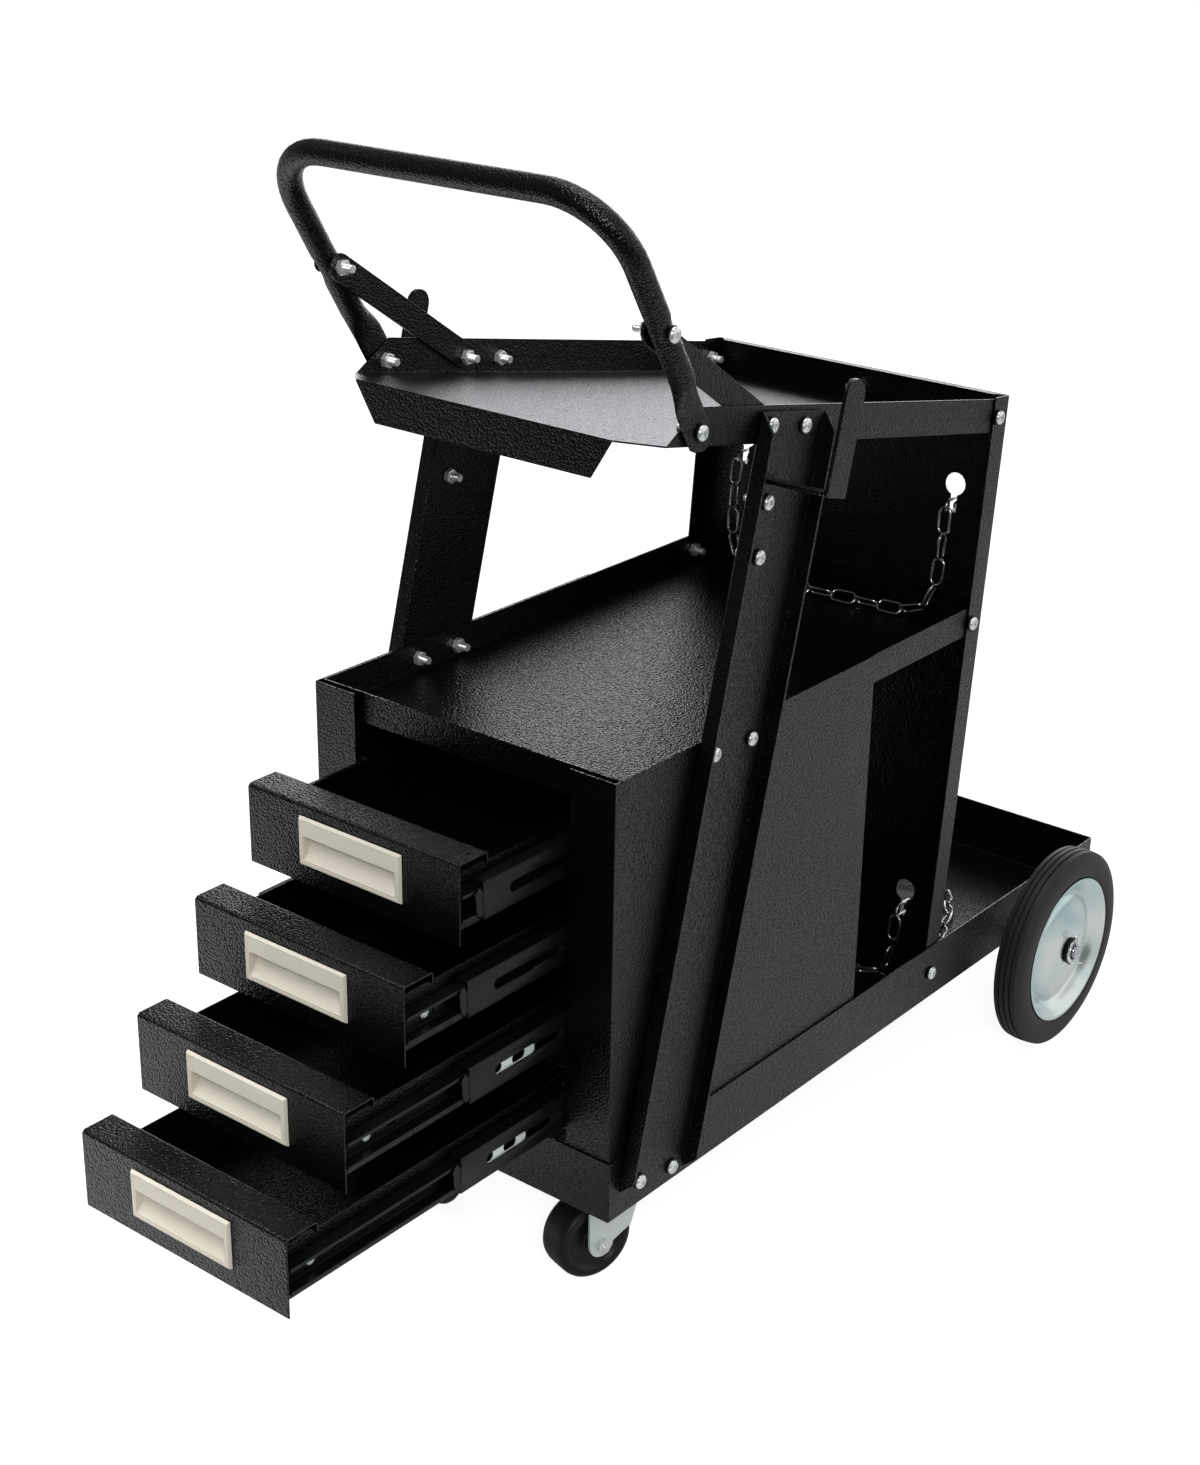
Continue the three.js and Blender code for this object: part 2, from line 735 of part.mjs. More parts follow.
// Swivel casters: the plate stays with the pan, the fork and its wheel turn about the kingpin
const [rightCaster, leftCaster] = groups(casterX, casterY, 0, 0, -casterTurn);
const [rightPlate, leftPlate] = groups(casterX, casterY, 0);
const plateTop = panBottom - fit;
const raceFoot = plateTop - plateSheet - raceHeight;
const crownTop = raceFoot - fit;
const crownFoot = crownTop - crownSheet;
function upright(radius, z0, z1) {
  return solid(bar(radius, z0, z1, smallFacets).rotateY(-Math.PI / 2));
}
function casterPlate() {
  const x = plateWidth / 2;
  const y = plateLength / 2;
  const overlap = plateSheet / 2;
  return box(-x, x, -y, y, plateTop - plateSheet, plateTop)
    .add(upright(raceRadius, raceFoot, plateTop - overlap))
    .add(upright(kingpin, crownFoot - crownSheet, plateTop - overlap));
}
function casterFork() {
  const inner = casterWidth / 2 + forkGap;
  const outer = inner + forkSheet;
  const side = crownRadius - crownSheet;
  const eye = roundEnded([-casterTrail, casterRadius], [-casterTrail, casterRadius + 1], 2 * forkEye);
  const cheek = [
    [-casterTrail - forkEye, casterRadius],
    [forkEye - casterTrail, casterRadius],
    [flareReach - casterTrail, casterRadius + flareRise],
    [side, crownFoot - crownSheet],
    [side, crownTop],
    [-side, crownTop],
    [-casterTrail - forkEye, casterRadius + forkShoulder],
  ];
  let fork = upright(crownRadius, crownFoot, crownTop);
  fork = fork.add(box(-outer, outer, -side, side, crownFoot, crownTop));
  for (const x of [inner, -outer]) {
    fork = fork.add(solid(slabX(cheek, x, x + forkSheet)));
    fork = fork.add(solid(slabX(eye, x, x + forkSheet)));
  }
  const boltHole = bar(casterBolt + fit, -outer - over, outer + over, smallFacets);
  fork = fork.subtract(solid(boltHole.translate(0, -casterTrail, casterRadius)));
  return fork.subtract(upright(kingpin + fit, crownFoot - over, crownTop + over));
}
function casterWheel() {
  const half = casterWidth / 2;
  const bore = casterBolt + fit;
  const round = 5;
  const recess = 2;
  const wheel = turned([
    [bore, -half],
    [casterHub, -half],
    [casterHub + recess, recess - half],
    [casterRadius - round - recess, recess - half],
    [casterRadius - round, 1 - half],
    [casterRadius, round - half],
    [casterRadius, half - round],
    [casterRadius - round, half - 1],
    [casterRadius - round - recess, half - recess],
    [casterHub + recess, half - recess],
    [casterHub, half],
    [bore, half],
    [bore, -half],
  ], casterFacets);
  return solid(wheel.translate(0, -casterTrail, casterRadius));
}
function casterAxle() {
  const seat = casterWidth / 2 + forkGap + forkSheet + fit;
  const end = seat + boltHeadHeight;
  const bolt = turned([
    [0, -end],
    [boltHead, -end],
    [boltHead, -seat],
    [casterBolt, -seat],
    [casterBolt, seat],
    [boltHead, seat],
    [boltHead, end],
    [0, end],
  ], smallFacets);
  return solid(bolt.translate(0, -casterTrail, casterRadius));
}
pair('caster_plate', casterPlate(), zinc, rightPlate, leftPlate);
pair('caster_fork', casterFork(), zinc, rightCaster, leftCaster);
pair('caster_wheel', casterWheel(), casterBlack, rightCaster, leftCaster);
pair('caster_axle', casterAxle(), zinc, rightCaster, leftCaster);

// Drawers: each in a frame of its own, at the lower edge of its front's face
const pullMiddle = frontHeight / 2 + pullRise;
const pocketHalf = pullWidth / 2 - pullRim;
const pocketRise = pullHeight / 2 - pullRim;
function drawerFront() {
  const under = frontHeight - sheet;
  const hole = pocketHalf + fit;
  const rise = pocketRise + fit;
  return box(-frontHalf, frontHalf, 0, sheet, 0, frontHeight)
    .add(box(-frontHalf, frontHalf, 0, lipDepth, under, frontHeight))
    .add(box(-frontHalf, frontHalf, lipDepth - sheet, lipDepth, frontHeight - lipHem, frontHeight))
    .subtract(box(-hole, hole, -over, sheet + over, pullMiddle - rise, pullMiddle + rise));
}
function drawerBox() {
  const front = sheet + fit;
  const top = boxFoot + boxHeight;
  const edge = boxHalf - sheet;
  return box(-boxHalf, boxHalf, front, boxDepth, boxFoot, top)
    .subtract(box(-edge, edge, front - over, boxDepth - sheet, boxFoot + sheet, top + over));
}
function drawerPull() {
  const wide = pullWidth / 2;
  const high = pullHeight / 2;
  const mouth = pocketRise - pullWall;
  const deep = pullDepth - pullWall;
  const pocket = [
    [-pullProud - over, -mouth],
    [0, -mouth],
    [deep, pullSlope - mouth],
    [deep, mouth],
    [pullLipDepth - pullProud, mouth],
    [pullLipDepth - pullProud, mouth - pullLip],
    [-pullProud - over, mouth - pullLip],
  ];
  const hollow = slabX(pocket, pullWall - pocketHalf, pocketHalf - pullWall);
  const low = pullMiddle - pocketRise;
  const top = pullMiddle + pocketRise;
  return box(-wide, wide, -pullProud, -fit, pullMiddle - high, pullMiddle + high)
    .add(box(-pocketHalf, pocketHalf, -pullProud / 2, pullDepth, low, top))
    .subtract(solid(hollow.translate(0, 0, pullMiddle)));
}
const middleBack = openingHalf - slideSheet - fit;
const memberReach = middleBack - slideSheet - fit;
function slideMiddle() {
  const edge = middleBack - slideSheet - middleFlange;
  const inside = memberHalf + fit;
  const half = cageSlotHeight / 2;
  let middle = box(edge, middleBack, 0, middleLength, -middleHalf, middleHalf);
  middle = middle.subtract(
    box(edge - over, middleBack - slideSheet, -over, middleLength + over, -inside, inside),
  );
  for (const start of [cageSlotStart, cageSlotStart + cageSlotPitch]) {
    const slot = roundEnded([start + half, 0], [start + cageSlot - half, 0], cageSlotHeight);
    middle = middle.subtract(solid(slabX(slot, edge, middleBack + over)));
  }
  return middle;
}
function slideMember() {
  const back = boxHalf + fit;
  const inside = memberHalf - memberEdge;
  return box(back, memberReach, 0, memberLength, -memberHalf, memberHalf)
    .subtract(box(back + slideSheet, memberReach + over, -over, memberLength + over, -inside, inside));
}
const front = drawerFront();
const tray = drawerBox();
const pull = drawerPull();
const middle = slideMiddle();
const member = slideMember();
for (let index = 0; index < drawerCount; index += 1) {
  const number = index + 1;
  const foot = frontFoot(index);
  const drawer = new THREE.Group();
  drawer.position.set(0, cabinetFront - drawerOpen[index], foot);
  cart.add(drawer);
  piece(`drawer_${number}_box`, tray, blackPaint, drawer);
  piece(`drawer_${number}_front`, front, blackPaint, drawer);
  piece(`drawer_${number}_pull`, pull, ivory, drawer);
  const stage = new THREE.Group();
  stage.position.set(0, railFront - middleOpen[index], foot + slideRise);
  cart.add(stage);
  pair(`slide_${number}_middle`, middle, slideBlack, stage, stage);
  const inner = new THREE.Group();
  inner.position.set(0, railFront - drawerOpen[index], foot + slideRise);
  cart.add(inner);
  pair(`slide_${number}_member`, member, slideBlack, inner, inner);
}

// One chain link between two joints, turned about its own length by a roll angle
function chainLink(from, to, roll) {
  const along = to.clone().sub(from);
  const reach = along.length() / 2 + (chainWire - chainWeld) / 2;
  along.normalize();
  const level = Math.abs(along.z) < 0.8 ? new THREE.Vector3(0, 0, 1) : new THREE.Vector3(0, 1, 0);
  const side = level.sub(along.clone().multiplyScalar(level.dot(along))).normalize();
  side.applyAxisAngle(along, roll);
  const normal = along.clone().cross(side);
  const middle = from.clone().add(to).multiplyScalar(0.5);
  const bend = chainHalf - chainWire / 2;
  const rings = [];
  for (const end of [1, -1]) {
    for (let i = 0; i <= linkEndSteps; i += 1) {
      const angle = Math.PI * (i / linkEndSteps - 0.5);
      const outward = along.clone().multiplyScalar(end * Math.cos(angle));
      outward.addScaledVector(side, end * Math.sin(angle));
      const centre = middle.clone().addScaledVector(along, end * (reach - bend));
      centre.addScaledVector(outward, bend);
      const ring = [];
      for (let j = 0; j < linkFacets; j += 1) {
        const turn = 2 * Math.PI * j / linkFacets;
        const point = centre.clone().addScaledVector(outward, Math.cos(turn) * chainWire / 2);
        ring.push(point.addScaledVector(normal, Math.sin(turn) * chainWire / 2));
      }
      rings.push(ring);
    }
  }
  const corners = [];
  for (let i = 0; i < rings.length; i += 1) {
    const next = (i + 1) % rings.length;
    for (let j = 0; j < linkFacets; j += 1) {
      const k = (j + 1) % linkFacets;
      const [a, b] = [i * linkFacets + j, i * linkFacets + k];
      const [c, d] = [next * linkFacets + j, next * linkFacets + k];
      corners.push(a, c, b, b, c, d);
    }
  }
  const geometry = new THREE.BufferGeometry().setFromPoints(rings.flat());
  geometry.setIndex(corners);
  return solid(geometry);
}

// Joints about a pitch apart along a route of [x, y, height] points, with an odd number of links
const asPoint = ([x, y, height]) => new THREE.Vector3(x, y, panBottom + height);
function chainJoints(route) {
  const curve = new THREE.CatmullRomCurve3(route.map(asPoint), false, 'centripetal');
  const pairs = Math.round((curve.getLength() / chainPitch - 1) / 2);
  curve.arcLengthDivisions = 2000;
  return curve.getSpacedPoints(2 * pairs + 1);
}

// A link that sits in a keyhole's slot, from its front joint to its rear joint
function keyholeJoints(x, keyhole) {
  const height = keyhole - keyholeSlot + chainHalf + fit;
  const y = rearPanelY(panBottom + height) + sheet / 2;
  const reach = chainPitch / 2;
  return [[x, y - reach, height], [x, y + reach, height]];
}

// A chain through its joints: lying links lean on their edges, hanging and seated ones stand square
function chain(joints, seated) {
  let body = null;
  for (let i = 0; i + 1 < joints.length; i += 1) {
    const along = joints[i + 1].clone().sub(joints[i]).normalize();
    const lying = Math.abs(along.z) < 0.75 && !seated.includes(i);
    const roll = ((i + 1) % 2) * Math.PI / 2 + (lying ? Math.PI / 4 : 0);
    const link = chainLink(joints[i], joints[i + 1], roll);
    body = body ? body.add(link) : link;
  }
  return body;
}
const stopDrop = ([x, y, height]) => [x, y, height - chainPitch];

// Upper chain: from one keyhole down to the middle shelf and up to the other
const [upperNearIn, upperNearOut] = keyholeJoints(keyholeX, keyholeHigh);
const [upperFarIn, upperFarOut] = keyholeJoints(-keyholeX, keyholeHigh);
const upperRoute = [
  upperNearIn,
  [102, 459, 388],
  [101, 457, 362],
  [99, 453.5, 340],
  [90, 450, 326],
  [70, 448.5, 323],
  [44, 446.5, 322.8],
  [18, 444, 322.8],
  [-8, 440.5, 322.8],
  [-35, 439, 322.8],
  [-62, 442.5, 322.8],
  [-84, 448, 325],
  [-96, 453, 340],
  [-100, 457, 362],
  [-101, 459, 388],
  upperFarIn,
];
const upperSpan = chainJoints(upperRoute);
const upperJoints = [
  asPoint(stopDrop(upperNearOut)),
  asPoint(upperNearOut),
  ...upperSpan,
  asPoint(upperFarOut),
  asPoint(stopDrop(upperFarOut)),
];
piece('upper_chain', chain(upperJoints, [1, upperSpan.length + 1]), chainSteel);

// Lower chain: it lies on the bottle tray behind the panel, and its loose end hangs in front
const [lowerNearIn, lowerNearOut] = keyholeJoints(keyholeX, keyholeLow);
const [lowerFarIn, lowerFarOut] = keyholeJoints(-keyholeX, keyholeLow);
const lowerRoute = [
  lowerFarOut,
  [-101, 455, 42],
  [-100.5, 457, 20],
  [-98, 470, 7.6],
  [-93, 500, 6.8],
  [-78, 545, 6.8],
  [-45, 585, 6.8],
  [0, 606, 6.8],
  [38, 602, 6.8],
  [62, 582, 6.8],
  [80, 556, 6.8],
  [93, 518, 6.8],
  [99, 480, 6.8],
  [101, 460, 16],
  [101, 455.5, 40],
  lowerNearOut,
];
const looseRoute = [
  lowerNearIn,
  [101, 427, 40],
  [100, 426, 18],
  [90, 422, 6.8],
  [70, 416, 6.8],
];
const lowerSpan = chainJoints(lowerRoute);
const lowerJoints = [
  asPoint(stopDrop(lowerFarIn)),
  asPoint(lowerFarIn),
  ...lowerSpan,
  ...chainJoints(looseRoute),
];
piece('lower_chain', chain(lowerJoints, [1, lowerSpan.length + 1]), chainSteel);

// The origin stands on the floor under the middle of the cart as it rests, drawers open
const foremost = cabinetFront - Math.max(...drawerOpen) - pullProud;
cart.position.y = -(panLength + foremost) / 2;

const weldingCart = new THREE.Group();
weldingCart.add(cart);
weldingCart.updateMatrixWorld(true);
export default weldingCart;
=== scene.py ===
# %% [markdown]
# # A welding cart, dressed in Blender
# The cart is folded black sheet metal that rolls on two large wheels and two swivel casters, with four
# drawers that stand open. Its measured solids are loaded first, as a frame that never moves, and every
# piece below is modelled around them at its real size, in metres.

# %% Load the measured frame
import math

import bmesh
import bpy
from mathutils import Matrix, Vector


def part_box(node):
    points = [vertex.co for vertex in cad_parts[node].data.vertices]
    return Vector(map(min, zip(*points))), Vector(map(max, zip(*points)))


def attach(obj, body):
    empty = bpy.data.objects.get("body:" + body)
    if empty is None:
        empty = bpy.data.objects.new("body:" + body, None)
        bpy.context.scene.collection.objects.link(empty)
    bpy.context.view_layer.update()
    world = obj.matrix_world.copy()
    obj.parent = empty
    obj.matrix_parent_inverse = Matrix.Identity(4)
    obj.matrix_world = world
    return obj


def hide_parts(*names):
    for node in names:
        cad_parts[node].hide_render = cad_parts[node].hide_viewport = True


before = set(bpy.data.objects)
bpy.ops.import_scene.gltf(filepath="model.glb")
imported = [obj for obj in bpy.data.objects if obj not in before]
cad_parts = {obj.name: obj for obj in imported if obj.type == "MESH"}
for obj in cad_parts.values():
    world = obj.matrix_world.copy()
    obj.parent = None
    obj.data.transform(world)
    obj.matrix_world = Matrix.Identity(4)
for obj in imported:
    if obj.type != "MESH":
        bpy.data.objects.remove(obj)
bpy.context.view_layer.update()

mm = 0.001
pan_wall = 49
pan_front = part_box("base_pan")[0].y
pan_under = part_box("base_pan")[1].z - pan_wall * mm


def place(x, y, height):
    """A point from millimetres across the cart, back from the pan's front and up from its underside."""
    return Vector((x * mm, pan_front + y * mm, pan_under + height * mm))


def centre_of(node):
    """The middle of a measured solid's box."""
    low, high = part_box(node)
    return (low + high) / 2


# %% [markdown]
# ## Camera
# The cart is seen from above its near front corner. A camera can be aimed with a Track To constraint, but a
# picture taken by hand is also rolled a little, so the camera is turned three times: rolled about its own
# line of sight, tipped down to the cart and swung round to the corner.

# %% Camera
camera_place = Vector((1.0149, -1.3242, 1.0789))
camera_yaw = 0.6757
camera_pitch = 0.4029
camera_roll = 0.0159
camera_lens = 58.553

swing = Matrix.Rotation(camera_yaw, 3, "Z")
tip = Matrix.Rotation(math.pi / 2 - camera_pitch, 3, "X")
roll = Matrix.Rotation(camera_roll, 3, "Z")
bpy.ops.object.camera_add(location=camera_place, rotation=(swing @ tip @ roll).to_euler())
camera = bpy.context.object
camera.data.lens = camera_lens
camera.data.sensor_width = 36
bpy.context.scene.camera = camera
print("camera stands", round(camera_place.length, 2), "m from the cart's foot")

# %% [markdown]
# ## Selecting by code
# An operator acts on whatever is selected, as a hand does. These helpers leave one object selected, open its
# mesh, and select vertices, edges or faces by a test of their place or direction.

# %% Selecting
SELECT_MODES = {"verts": "VERT", "edges": "EDGE", "faces": "FACE"}
# A face is square on to an axis where its normal's part along the axis is more than this
square_on = 0.9


def only(piece):
    """Selects one object and nothing else."""
    if bpy.context.mode != "OBJECT":
        bpy.ops.object.mode_set(mode="OBJECT")
    bpy.ops.object.select_all(action="DESELECT")
    piece.select_set(True)
    bpy.context.view_layer.objects.active = piece


def open_mesh(piece):
    """Goes into edit mode on one object."""
    only(piece)
    bpy.ops.object.mode_set(mode="EDIT")


def pick(kind, test):
    """Selects the verts, edges or faces of the open mesh that pass a test, and counts them."""
    bpy.ops.mesh.select_mode(type=SELECT_MODES[kind])
    bpy.ops.mesh.select_all(action="DESELECT")
    mesh = bmesh.from_edit_mesh(bpy.context.edit_object.data)
    mesh.normal_update()
    mesh.verts.index_update()
    found = 0
    for part in getattr(mesh, kind):
        if test(part):
            part.select_set(True)
            found += 1
    mesh.select_flush_mode()
    bmesh.update_edit_mesh(bpy.context.edit_object.data)
    return found


def close_mesh():
    bpy.ops.object.mode_set(mode="OBJECT")


# %% [markdown]
# ## Adding, merging, joining and copying
# Each new piece starts from a primitive. Its place, turn and size could stay on the object, but then a finish
# would turn and stretch with it. So they go into the mesh at once, and a copy gets a mesh of its own.

# %% Adding, merging, joining and copying
merge_gap = 0.01 * mm


def added(operator, stretch=(1, 1, 1), **settings):
    """Adds a primitive with nothing else selected, and puts its place, turn and size into its mesh."""
    bpy.ops.object.select_all(action="DESELECT")
    operator(**settings)
    piece = bpy.context.object
    piece.scale = stretch
    bpy.ops.object.transform_apply(location=True, rotation=True, scale=True)
    return piece


def merged():
    """Merges the doubled points of the open mesh."""
    bpy.ops.mesh.select_all(action="SELECT")
    bpy.ops.mesh.remove_doubles(threshold=merge_gap)


def finish_mesh(piece, smooth_angle):
    """Smooth shading that keeps edges sharper than an angle in degrees and leaves broad faces flat."""
    only(piece)
    bpy.ops.object.shade_smooth_by_angle(angle=math.radians(smooth_angle))
    bpy.ops.object.modifier_add(type="WEIGHTED_NORMAL")
    piece.modifiers[-1].keep_sharp = True
    bpy.ops.object.modifier_apply(modifier=piece.modifiers[-1].name)


def join(pieces, name):
    """Joins objects into the first one."""
    only(pieces[0])
    for piece in pieces:
        piece.select_set(True)
    bpy.ops.object.join()
    joined = bpy.context.object
    joined.name = name
    joined.data.name = name
    return joined


def copied(piece, name, matrix):
    """A copy with a mesh of its own, whose place is in the mesh."""
    copy = bpy.data.objects.new(name, piece.data.copy())
    bpy.context.scene.collection.objects.link(copy)
    copy.data.transform(matrix)
    if matrix.determinant() < 0:
        copy.data.flip_normals()
    return copy


# %% [markdown]
# ## Shader helpers
# A material is a small graph. These helpers add a node and set its inputs by name, and they link an input
# wherever another node's output is given instead of a number, so that a finish reads as one short list.

# %% Shader helpers
FLOAT = "NodeSocketFloat"
COLOUR = "NodeSocketColor"


def feed(tree, node, **inputs):
    """Sets or links a node's inputs, by name or as in0, in1 and so on."""
    for key, value in inputs.items():
        socket = node.inputs[int(key[2:]) if key.startswith("in") else key.replace("_", " ")]
        if isinstance(value, bpy.types.NodeSocket):
            tree.links.new(value, socket)
        else:
            socket.default_value = value
    return node


def add_node(tree, kind, settings=None, **inputs):
    node = tree.nodes.new("ShaderNode" + kind)
    for key, value in (settings or {}).items():
        setattr(node, key, value)
    return feed(tree, node, **inputs)


def math_node(tree, operation, first, second):
    return add_node(tree, "Math", {"operation": operation}, in0=first, in1=second).outputs[0]


def mixed(tree, share, low, high):
    """A colour between two colours."""
    node = add_node(tree, "Mix", {"data_type": "RGBA"}, in0=share, in6=low, in7=high)
    return node.outputs[2]


def ranged(tree, value, low=0.0, high=1.0, start=0.0, end=1.0):
    """A value that goes from start to end, stretched to go from low to high."""
    limits = {"From_Min": start, "From_Max": end, "To_Min": low, "To_Max": high}
    return add_node(tree, "MapRange", Value=value, **limits).outputs[0]


def raised(tree, height, lift):
    """A bump that stands up by a lift in metres."""
    return add_node(tree, "Bump", Height=height, Distance=lift, Strength=1.0).outputs[0]


# %% Groups and finishes
def new_group(name, inputs, outputs):
    """An empty shader group with named sockets; an input is a name and its usual value."""
    group = bpy.data.node_groups.new(name, "ShaderNodeTree")
    for label, usual in inputs:
        kind = FLOAT if isinstance(usual, float) else COLOUR
        group.interface.new_socket(label, in_out="INPUT", socket_type=kind).default_value = usual
    for label, kind in outputs:
        group.interface.new_socket(label, in_out="OUTPUT", socket_type=kind)
    return group, group.nodes.new("NodeGroupInput"), group.nodes.new("NodeGroupOutput")


def use_group(tree, group, **inputs):
    node = tree.nodes.new("ShaderNodeGroup")
    node.node_tree = group
    return feed(tree, node, **inputs)


def new_finish(name):
    finish = bpy.data.materials.new(name)
    finish.use_nodes = True
    return finish, finish.node_tree, finish.node_tree.nodes["Principled BSDF"]


# %% [markdown]
# ## The pebbled coat
# The sheet metal, the legs and the handle have a black powder coat that dried into small pebbles, about two
# millimetres across, with a wet gloss. The pebbles could be a displaced mesh, but millions of faces would not
# show more than a bump does. One group makes their height and a slow change of gloss, and each coat sets its
# own scale.

# %% Pebble group
pebbles, group_in, group_out = new_group(
    "pebbles", [("Scale", 500.0)], [("Height", FLOAT), ("Gloss", FLOAT)],
)
here = add_node(pebbles, "TexCoord").outputs["Object"]
cells = add_node(pebbles, "TexVoronoi", {"feature": "F1"}, Vector=here, Scale=group_in.outputs["Scale"])
away = cells.outputs["Distance"]
height = math_node(pebbles, "SUBTRACT", 1.0, math_node(pebbles, "MULTIPLY", away, away))
slow = add_node(pebbles, "TexNoise", Vector=here, Scale=9.0, Detail=3.0)
feed(pebbles, group_out, Height=height, Gloss=slow.outputs[0])

# %% Coats of the sheet and the tube
coat_dark = (0.00084, 0.00084, 0.00098, 1)
coat_light = (0.00156, 0.00156, 0.00182, 1)
coat_roughness = (0.29, 0.35)
coat_shine = 0.11
gloss_weight = (0.28, 0.72)
gloss_roughness = 0.11
# The gloss starts where a pebble rises out of the hollow round it
gloss_foot = 0.6


def pebbled_finish(name, scale, lift):
    """A black coat under a clear gloss: pebbles of one scale (per metre) that stand up by lift (metres)."""
    finish, tree, shader = new_finish(name)
    coat = use_group(tree, pebbles, Scale=scale)
    slow = coat.outputs["Gloss"]
    bump = raised(tree, coat.outputs["Height"], lift)
    feed(
        tree, shader, Base_Color=mixed(tree, slow, coat_dark, coat_light), Normal=bump, Coat_Normal=bump,
        Roughness=ranged(tree, slow, *coat_roughness), Specular_IOR_Level=coat_shine,
        Coat_Weight=ranged(tree, coat.outputs["Height"], *gloss_weight, start=gloss_foot),
        Coat_Roughness=gloss_roughness,
    )
    return finish


sheet_coat = pebbled_finish("sheet_coat", scale=560, lift=0.00044)
tube_coat = pebbled_finish("tube_coat", scale=520, lift=0.0005)
print("coats:", sheet_coat.name, tube_coat.name)

# %% [markdown]
# ## Plating, rubber, plastic and chain
# The wheel discs, forks and bolts are zinc plated: a bright metal with slow patches of pale blue-green and
# straw that the bath leaves. They could be painted by hand, but a second group makes the patches and the fine
# grain for every plated piece at once. Rubber, ivory plastic, the slides' satin black and the chain's dark
# polished wire each get a grain of their own.

# %% Plating group
plating, group_in, group_out = new_group(
    "plating",
    [("Cool", (0.60, 0.72, 0.74, 1)), ("Warm", (0.78, 0.80, 0.77, 1)), ("Patch", 38.0)],
    [("Color", COLOUR), ("Roughness", FLOAT), ("Height", FLOAT)],
)
here = add_node(plating, "TexCoord").outputs["Object"]
patch = add_node(
    plating, "TexNoise", Vector=here, Scale=group_in.outputs["Patch"], Detail=3.0, Distortion=0.6,
).outputs[0]
patch_share = ranged(plating, patch, start=0.35, end=0.65)
grain = add_node(plating, "TexNoise", Vector=here, Scale=900.0, Detail=2.0)
feed(
    plating, group_out, Height=grain.outputs[0],
    Color=mixed(plating, patch_share, group_in.outputs["Cool"], group_in.outputs["Warm"]),
    Roughness=ranged(plating, patch, low=0.16, high=0.32),
)


# %% Zinc and chain steel
def plated_finish(name, cool, warm, patch_scale, grain_lift, metal=1.0):
    """Bright metal with patches of two tints (per metre) and a grain that stands up by a lift (metres)."""
    finish, tree, shader = new_finish(name)
    plate = use_group(tree, plating, Cool=(*cool, 1), Warm=(*warm, 1), Patch=patch_scale)
    feed(
        tree, shader, Base_Color=plate.outputs["Color"], Roughness=plate.outputs["Roughness"],
        Normal=raised(tree, plate.outputs["Height"], grain_lift), Metallic=metal,
    )
    return finish


disc_zinc = plated_finish(
    "disc_zinc", (0.46, 0.61, 0.62), (0.74, 0.78, 0.75), patch_scale=13, grain_lift=0.000004)
fork_zinc = plated_finish(
    "fork_zinc", (0.78, 0.88, 0.87), (0.88, 0.92, 0.90), patch_scale=40, grain_lift=0.00001, metal=0.2)
bolt_zinc = plated_finish(
    "bolt_zinc", (0.74, 0.78, 0.78), (0.88, 0.88, 0.86), patch_scale=160, grain_lift=0.00002, metal=0.7)
chain_steel = plated_finish(
    "chain_steel", (0.44, 0.45, 0.47), (0.66, 0.66, 0.66), patch_scale=120, grain_lift=0.00003)


# %% Rubber, plastic and satin black
def grained_finish(name, dark, light, roughness, scale, lift, shine=0.5):
    """A plain moulded or dipped finish: two close shades, a fine grain and a steady gloss."""
    finish, tree, shader = new_finish(name)
    here = add_node(tree, "TexCoord").outputs["Object"]
    fine = add_node(tree, "TexNoise", Vector=here, Scale=scale, Detail=4.0).outputs[0]
    slow = add_node(tree, "TexNoise", Vector=here, Scale=22.0, Detail=2.0).outputs[0]
    feed(
        tree, shader, Base_Color=mixed(tree, slow, (*dark, 1), (*light, 1)),
        Roughness=ranged(tree, fine, *roughness), Normal=raised(tree, fine, lift), Specular_IOR_Level=shine,
    )
    return finish


tyre_rubber = grained_finish(
    "tyre_rubber", (0.010, 0.009, 0.008), (0.019, 0.017, 0.015),
    roughness=(0.45, 0.62), scale=700, lift=0.00006, shine=0.35)
caster_rubber = grained_finish(
    "caster_rubber", (0.004, 0.004, 0.0045), (0.009, 0.009, 0.009),
    roughness=(0.36, 0.5), scale=500, lift=0.00004, shine=0.3)
slide_black = grained_finish(
    "slide_black", (0.0015, 0.0015, 0.0017), (0.003, 0.003, 0.003),
    roughness=(0.3, 0.42), scale=1200, lift=0.00002, shine=0.25)
ivory = grained_finish(
    "ivory", (0.70, 0.66, 0.545), (0.75, 0.71, 0.60), roughness=(0.42, 0.55), scale=1500, lift=0.00002)
print("finishes:", len(bpy.data.materials))


# %% Wearing a finish
def wear(piece, finish, body):
    """Gives a piece its finish and the body that carries it."""
    piece.data.materials.clear()
    piece.data.materials.append(finish)
    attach(piece, body)
    return piece


def dressed(piece, finish, body, smooth_angle=35):
    """Shades a shaped piece and lets it wear its finish."""
    finish_mesh(piece, smooth_angle)
    return wear(piece, finish, body)


# %% [markdown]
# ## Chains
# Two welded chains hold a bottle against the rear panel. A chain could be one link with an Array and a Curve
# modifier, but real links stand at right angles to each other, and the ones that lie down lean over. So one
# link is modelled from a torus that is pulled apart in the middle, and a copy is set between every two joints
# of a route.

# %% One link
link_wire = 2.6 * mm
link_width = 12.5 * mm
link_pitch = 21.4 * mm
link_rings = 20
link_bend = (link_width - link_wire) / 2
link_stretch = (link_pitch + link_wire) / 2 - link_bend - link_wire / 2

